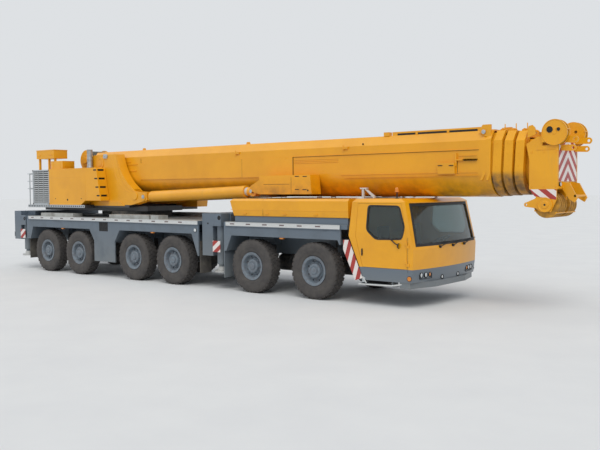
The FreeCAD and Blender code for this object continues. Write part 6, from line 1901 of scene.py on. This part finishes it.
class CRANE_OT_seats(bpy.types.Operator):
    """Padded seats in both cabs, with their pedestals"""
    bl_idname = "crane.seats"
    bl_label = "Seats"

    def execute(self, context):
        for side, sign in SIDES:
            near, far = sorted((sign * 0.455, sign * 0.945))
            seat_pad(f"seat_cushion_{side}", "carrier",
                     ((5.155, near, 1.006), (5.69, far, 1.116)), 0, "cab_interior",
                     (-0.22, 0.08, 0.36))
            seat_pad(f"seat_back_{side}", "carrier",
                     ((5.045, near, 1.105), (5.145, far, 1.785)), -4, "cab_interior",
                     (-0.30, -0.10, 0.10, 0.30))
        seat_pad("crane_seat_cushion", "superstructure",
                 ((-4.315, 1.06, 2.562), (-3.885, 1.39, 2.656)), 0, "crane_cab_seat",
                 (-0.2, 0.1, 0.36))
        seat_pad("crane_seat_back", "superstructure",
                 ((-4.416, 1.06, 2.62), (-4.324, 1.39, 3.292)), 0, "crane_cab_seat",
                 (-0.30, -0.10, 0.10, 0.30))
        bm = bmesh.new()
        for sign in (-1, 1):
            near, far = sorted((sign * 0.55, sign * 0.85))
            add_block(bm, (5.24, 5.59), (near, far), (0.621, 0.70))
            add_block(bm, (5.28, 5.55), sorted((sign * 0.58, sign * 0.82)), (0.70, 0.94))
            add_block(bm, (5.22, 5.62), sorted((sign * 0.50, sign * 0.90)), (0.94, 1.004))
            for step in range(5):
                z = 0.72 + 0.04 * step
                add_block(bm, (5.272, 5.558), sorted((sign * 0.572, sign * 0.828)),
                          (z, z + 0.018))
        finish_piece("seat_pedestals", bm, "carrier", [moulded_plastic()],
                     bevel=0.006, replaces=("cab_interior",))
        bm = bmesh.new()
        add_block(bm, (-4.24, -3.97), (1.12, 1.33), (2.137, 2.24))
        add_block(bm, (-4.20, -4.00), (1.15, 1.30), (2.24, 2.50))
        add_block(bm, (-4.27, -3.94), (1.09, 1.36), (2.50, 2.560))
        for step in range(5):
            z = 2.26 + 0.045 * step
            add_block(bm, (-4.21, -3.99), (1.14, 1.31), (z, z + 0.02))
        finish_piece("crane_seat_pedestal", bm, "superstructure", [moulded_plastic()],
                     bevel=0.005, replaces=("crane_cab_seat",))
        return {"FINISHED"}


class CRANE_OT_dashboard(bpy.types.Operator):
    """The carrier cab's dashboard with its dials and steering wheel"""
    bl_idname = "crane.dashboard"
    bl_label = "Dashboard"

    def execute(self, context):
        bm = bmesh.new()
        add_plate(bm, "xz", [(5.95, 0.622), (5.905, 1.15), (5.93, 1.25), (5.965, 1.325),
                             (6.175, 1.328), (6.175, 0.622)], -1.248, 1.248)
        for y in (-1.0, -0.35, 0.2, 1.05):
            add_block(bm, (5.895, 5.935), (y - 0.09, y + 0.09), (1.17, 1.23), material=1)
        add_block(bm, (5.896, 5.93), (-0.16, 0.06), (0.90, 1.12), material=1)
        for y in (0.58, 0.70, 0.82):
            add_drum(bm, "x", (5.895, 5.93), (y, 1.20), 0.045, segments=24, material=2)
        finish_piece("dashboard", bm, "carrier",
                     [moulded_plastic(), dark_recess(), clear_lens()],
                     bevel=0.008, replaces=("cab_interior",))
        bm = bmesh.new()
        lean = Matrix.Rotation(math.radians(-25), 3, "Y")
        ring, hub = 0.215, Vector((5.833, 0.7, 1.408))
        circle = [(0.017 * math.sin(math.tau * step / 12),
                   ring + 0.017 * math.cos(math.tau * step / 12)) for step in range(13)]
        add_turned(bm, "z", (0, 0, 0), circle, steps=48)
        add_turned(bm, "z", (0, 0, 0), [(0.012, 0.0), (0.010, 0.06), (-0.02, 0.07),
                                        (-0.03, 0.04), (-0.30, 0.034)], steps=24)
        for angle in (90, 210, 330):
            out = Vector((math.cos(math.radians(angle)), math.sin(math.radians(angle)), 0))
            add_pipe(bm, [out * 0.05, out * ring], 0.012, segments=8)
        bmesh.ops.rotate(bm, matrix=lean, verts=bm.verts[:])
        bmesh.ops.translate(bm, vec=hub, verts=bm.verts[:])
        finish_piece("steering_wheel", bm, "carrier", [moulded_plastic()],
                     replaces=("cab_interior",))
        return {"FINISHED"}


OPERATORS = (CRANE_OT_stage, CRANE_OT_cad_finishes, CRANE_OT_wheels,
             CRANE_OT_striped_plates, CRANE_OT_boom_details, CRANE_OT_head_details,
             CRANE_OT_column_details, CRANE_OT_engine_house_details, CRANE_OT_winch_rope,
             CRANE_OT_carrier_details, CRANE_OT_outrigger_details, CRANE_OT_hood_details,
             CRANE_OT_boom_rest_details, CRANE_OT_cab_trim, CRANE_OT_cab_lamps,
             CRANE_OT_crane_cab_trim, CRANE_OT_seats, CRANE_OT_dashboard)


class CRANE_PT_panel(bpy.types.Panel):
    """Colours, sizes and the buttons that build each group of pieces"""
    bl_idname = "CRANE_PT_panel"
    bl_label = "Mobile crane"
    bl_space_type = "VIEW_3D"
    bl_region_type = "UI"
    bl_category = "Crane"

    def draw(self, context):
        for group in (context.scene.crane_colours, context.scene.crane_sizes):
            for name in group.bl_rna.properties.keys():
                if name not in ("rna_type", "name"):
                    self.layout.prop(group, name)
        for kind in OPERATORS:
            self.layout.operator(kind.bl_idname)


CLASSES = (CraneColours, CraneSizes, *OPERATORS, CRANE_PT_panel)


def register():
    for kind in CLASSES:
        bpy.utils.register_class(kind)
    bpy.types.Scene.crane_colours = bpy.props.PointerProperty(type=CraneColours)
    bpy.types.Scene.crane_sizes = bpy.props.PointerProperty(type=CraneSizes)


def unregister():
    del bpy.types.Scene.crane_sizes
    del bpy.types.Scene.crane_colours
    for kind in reversed(CLASSES):
        bpy.utils.unregister_class(kind)


def main():
    register()
    for kind in OPERATORS:
        group, name = kind.bl_idname.split(".")
        getattr(getattr(bpy.ops, group), name)()


if __name__ == "__main__":
    main()
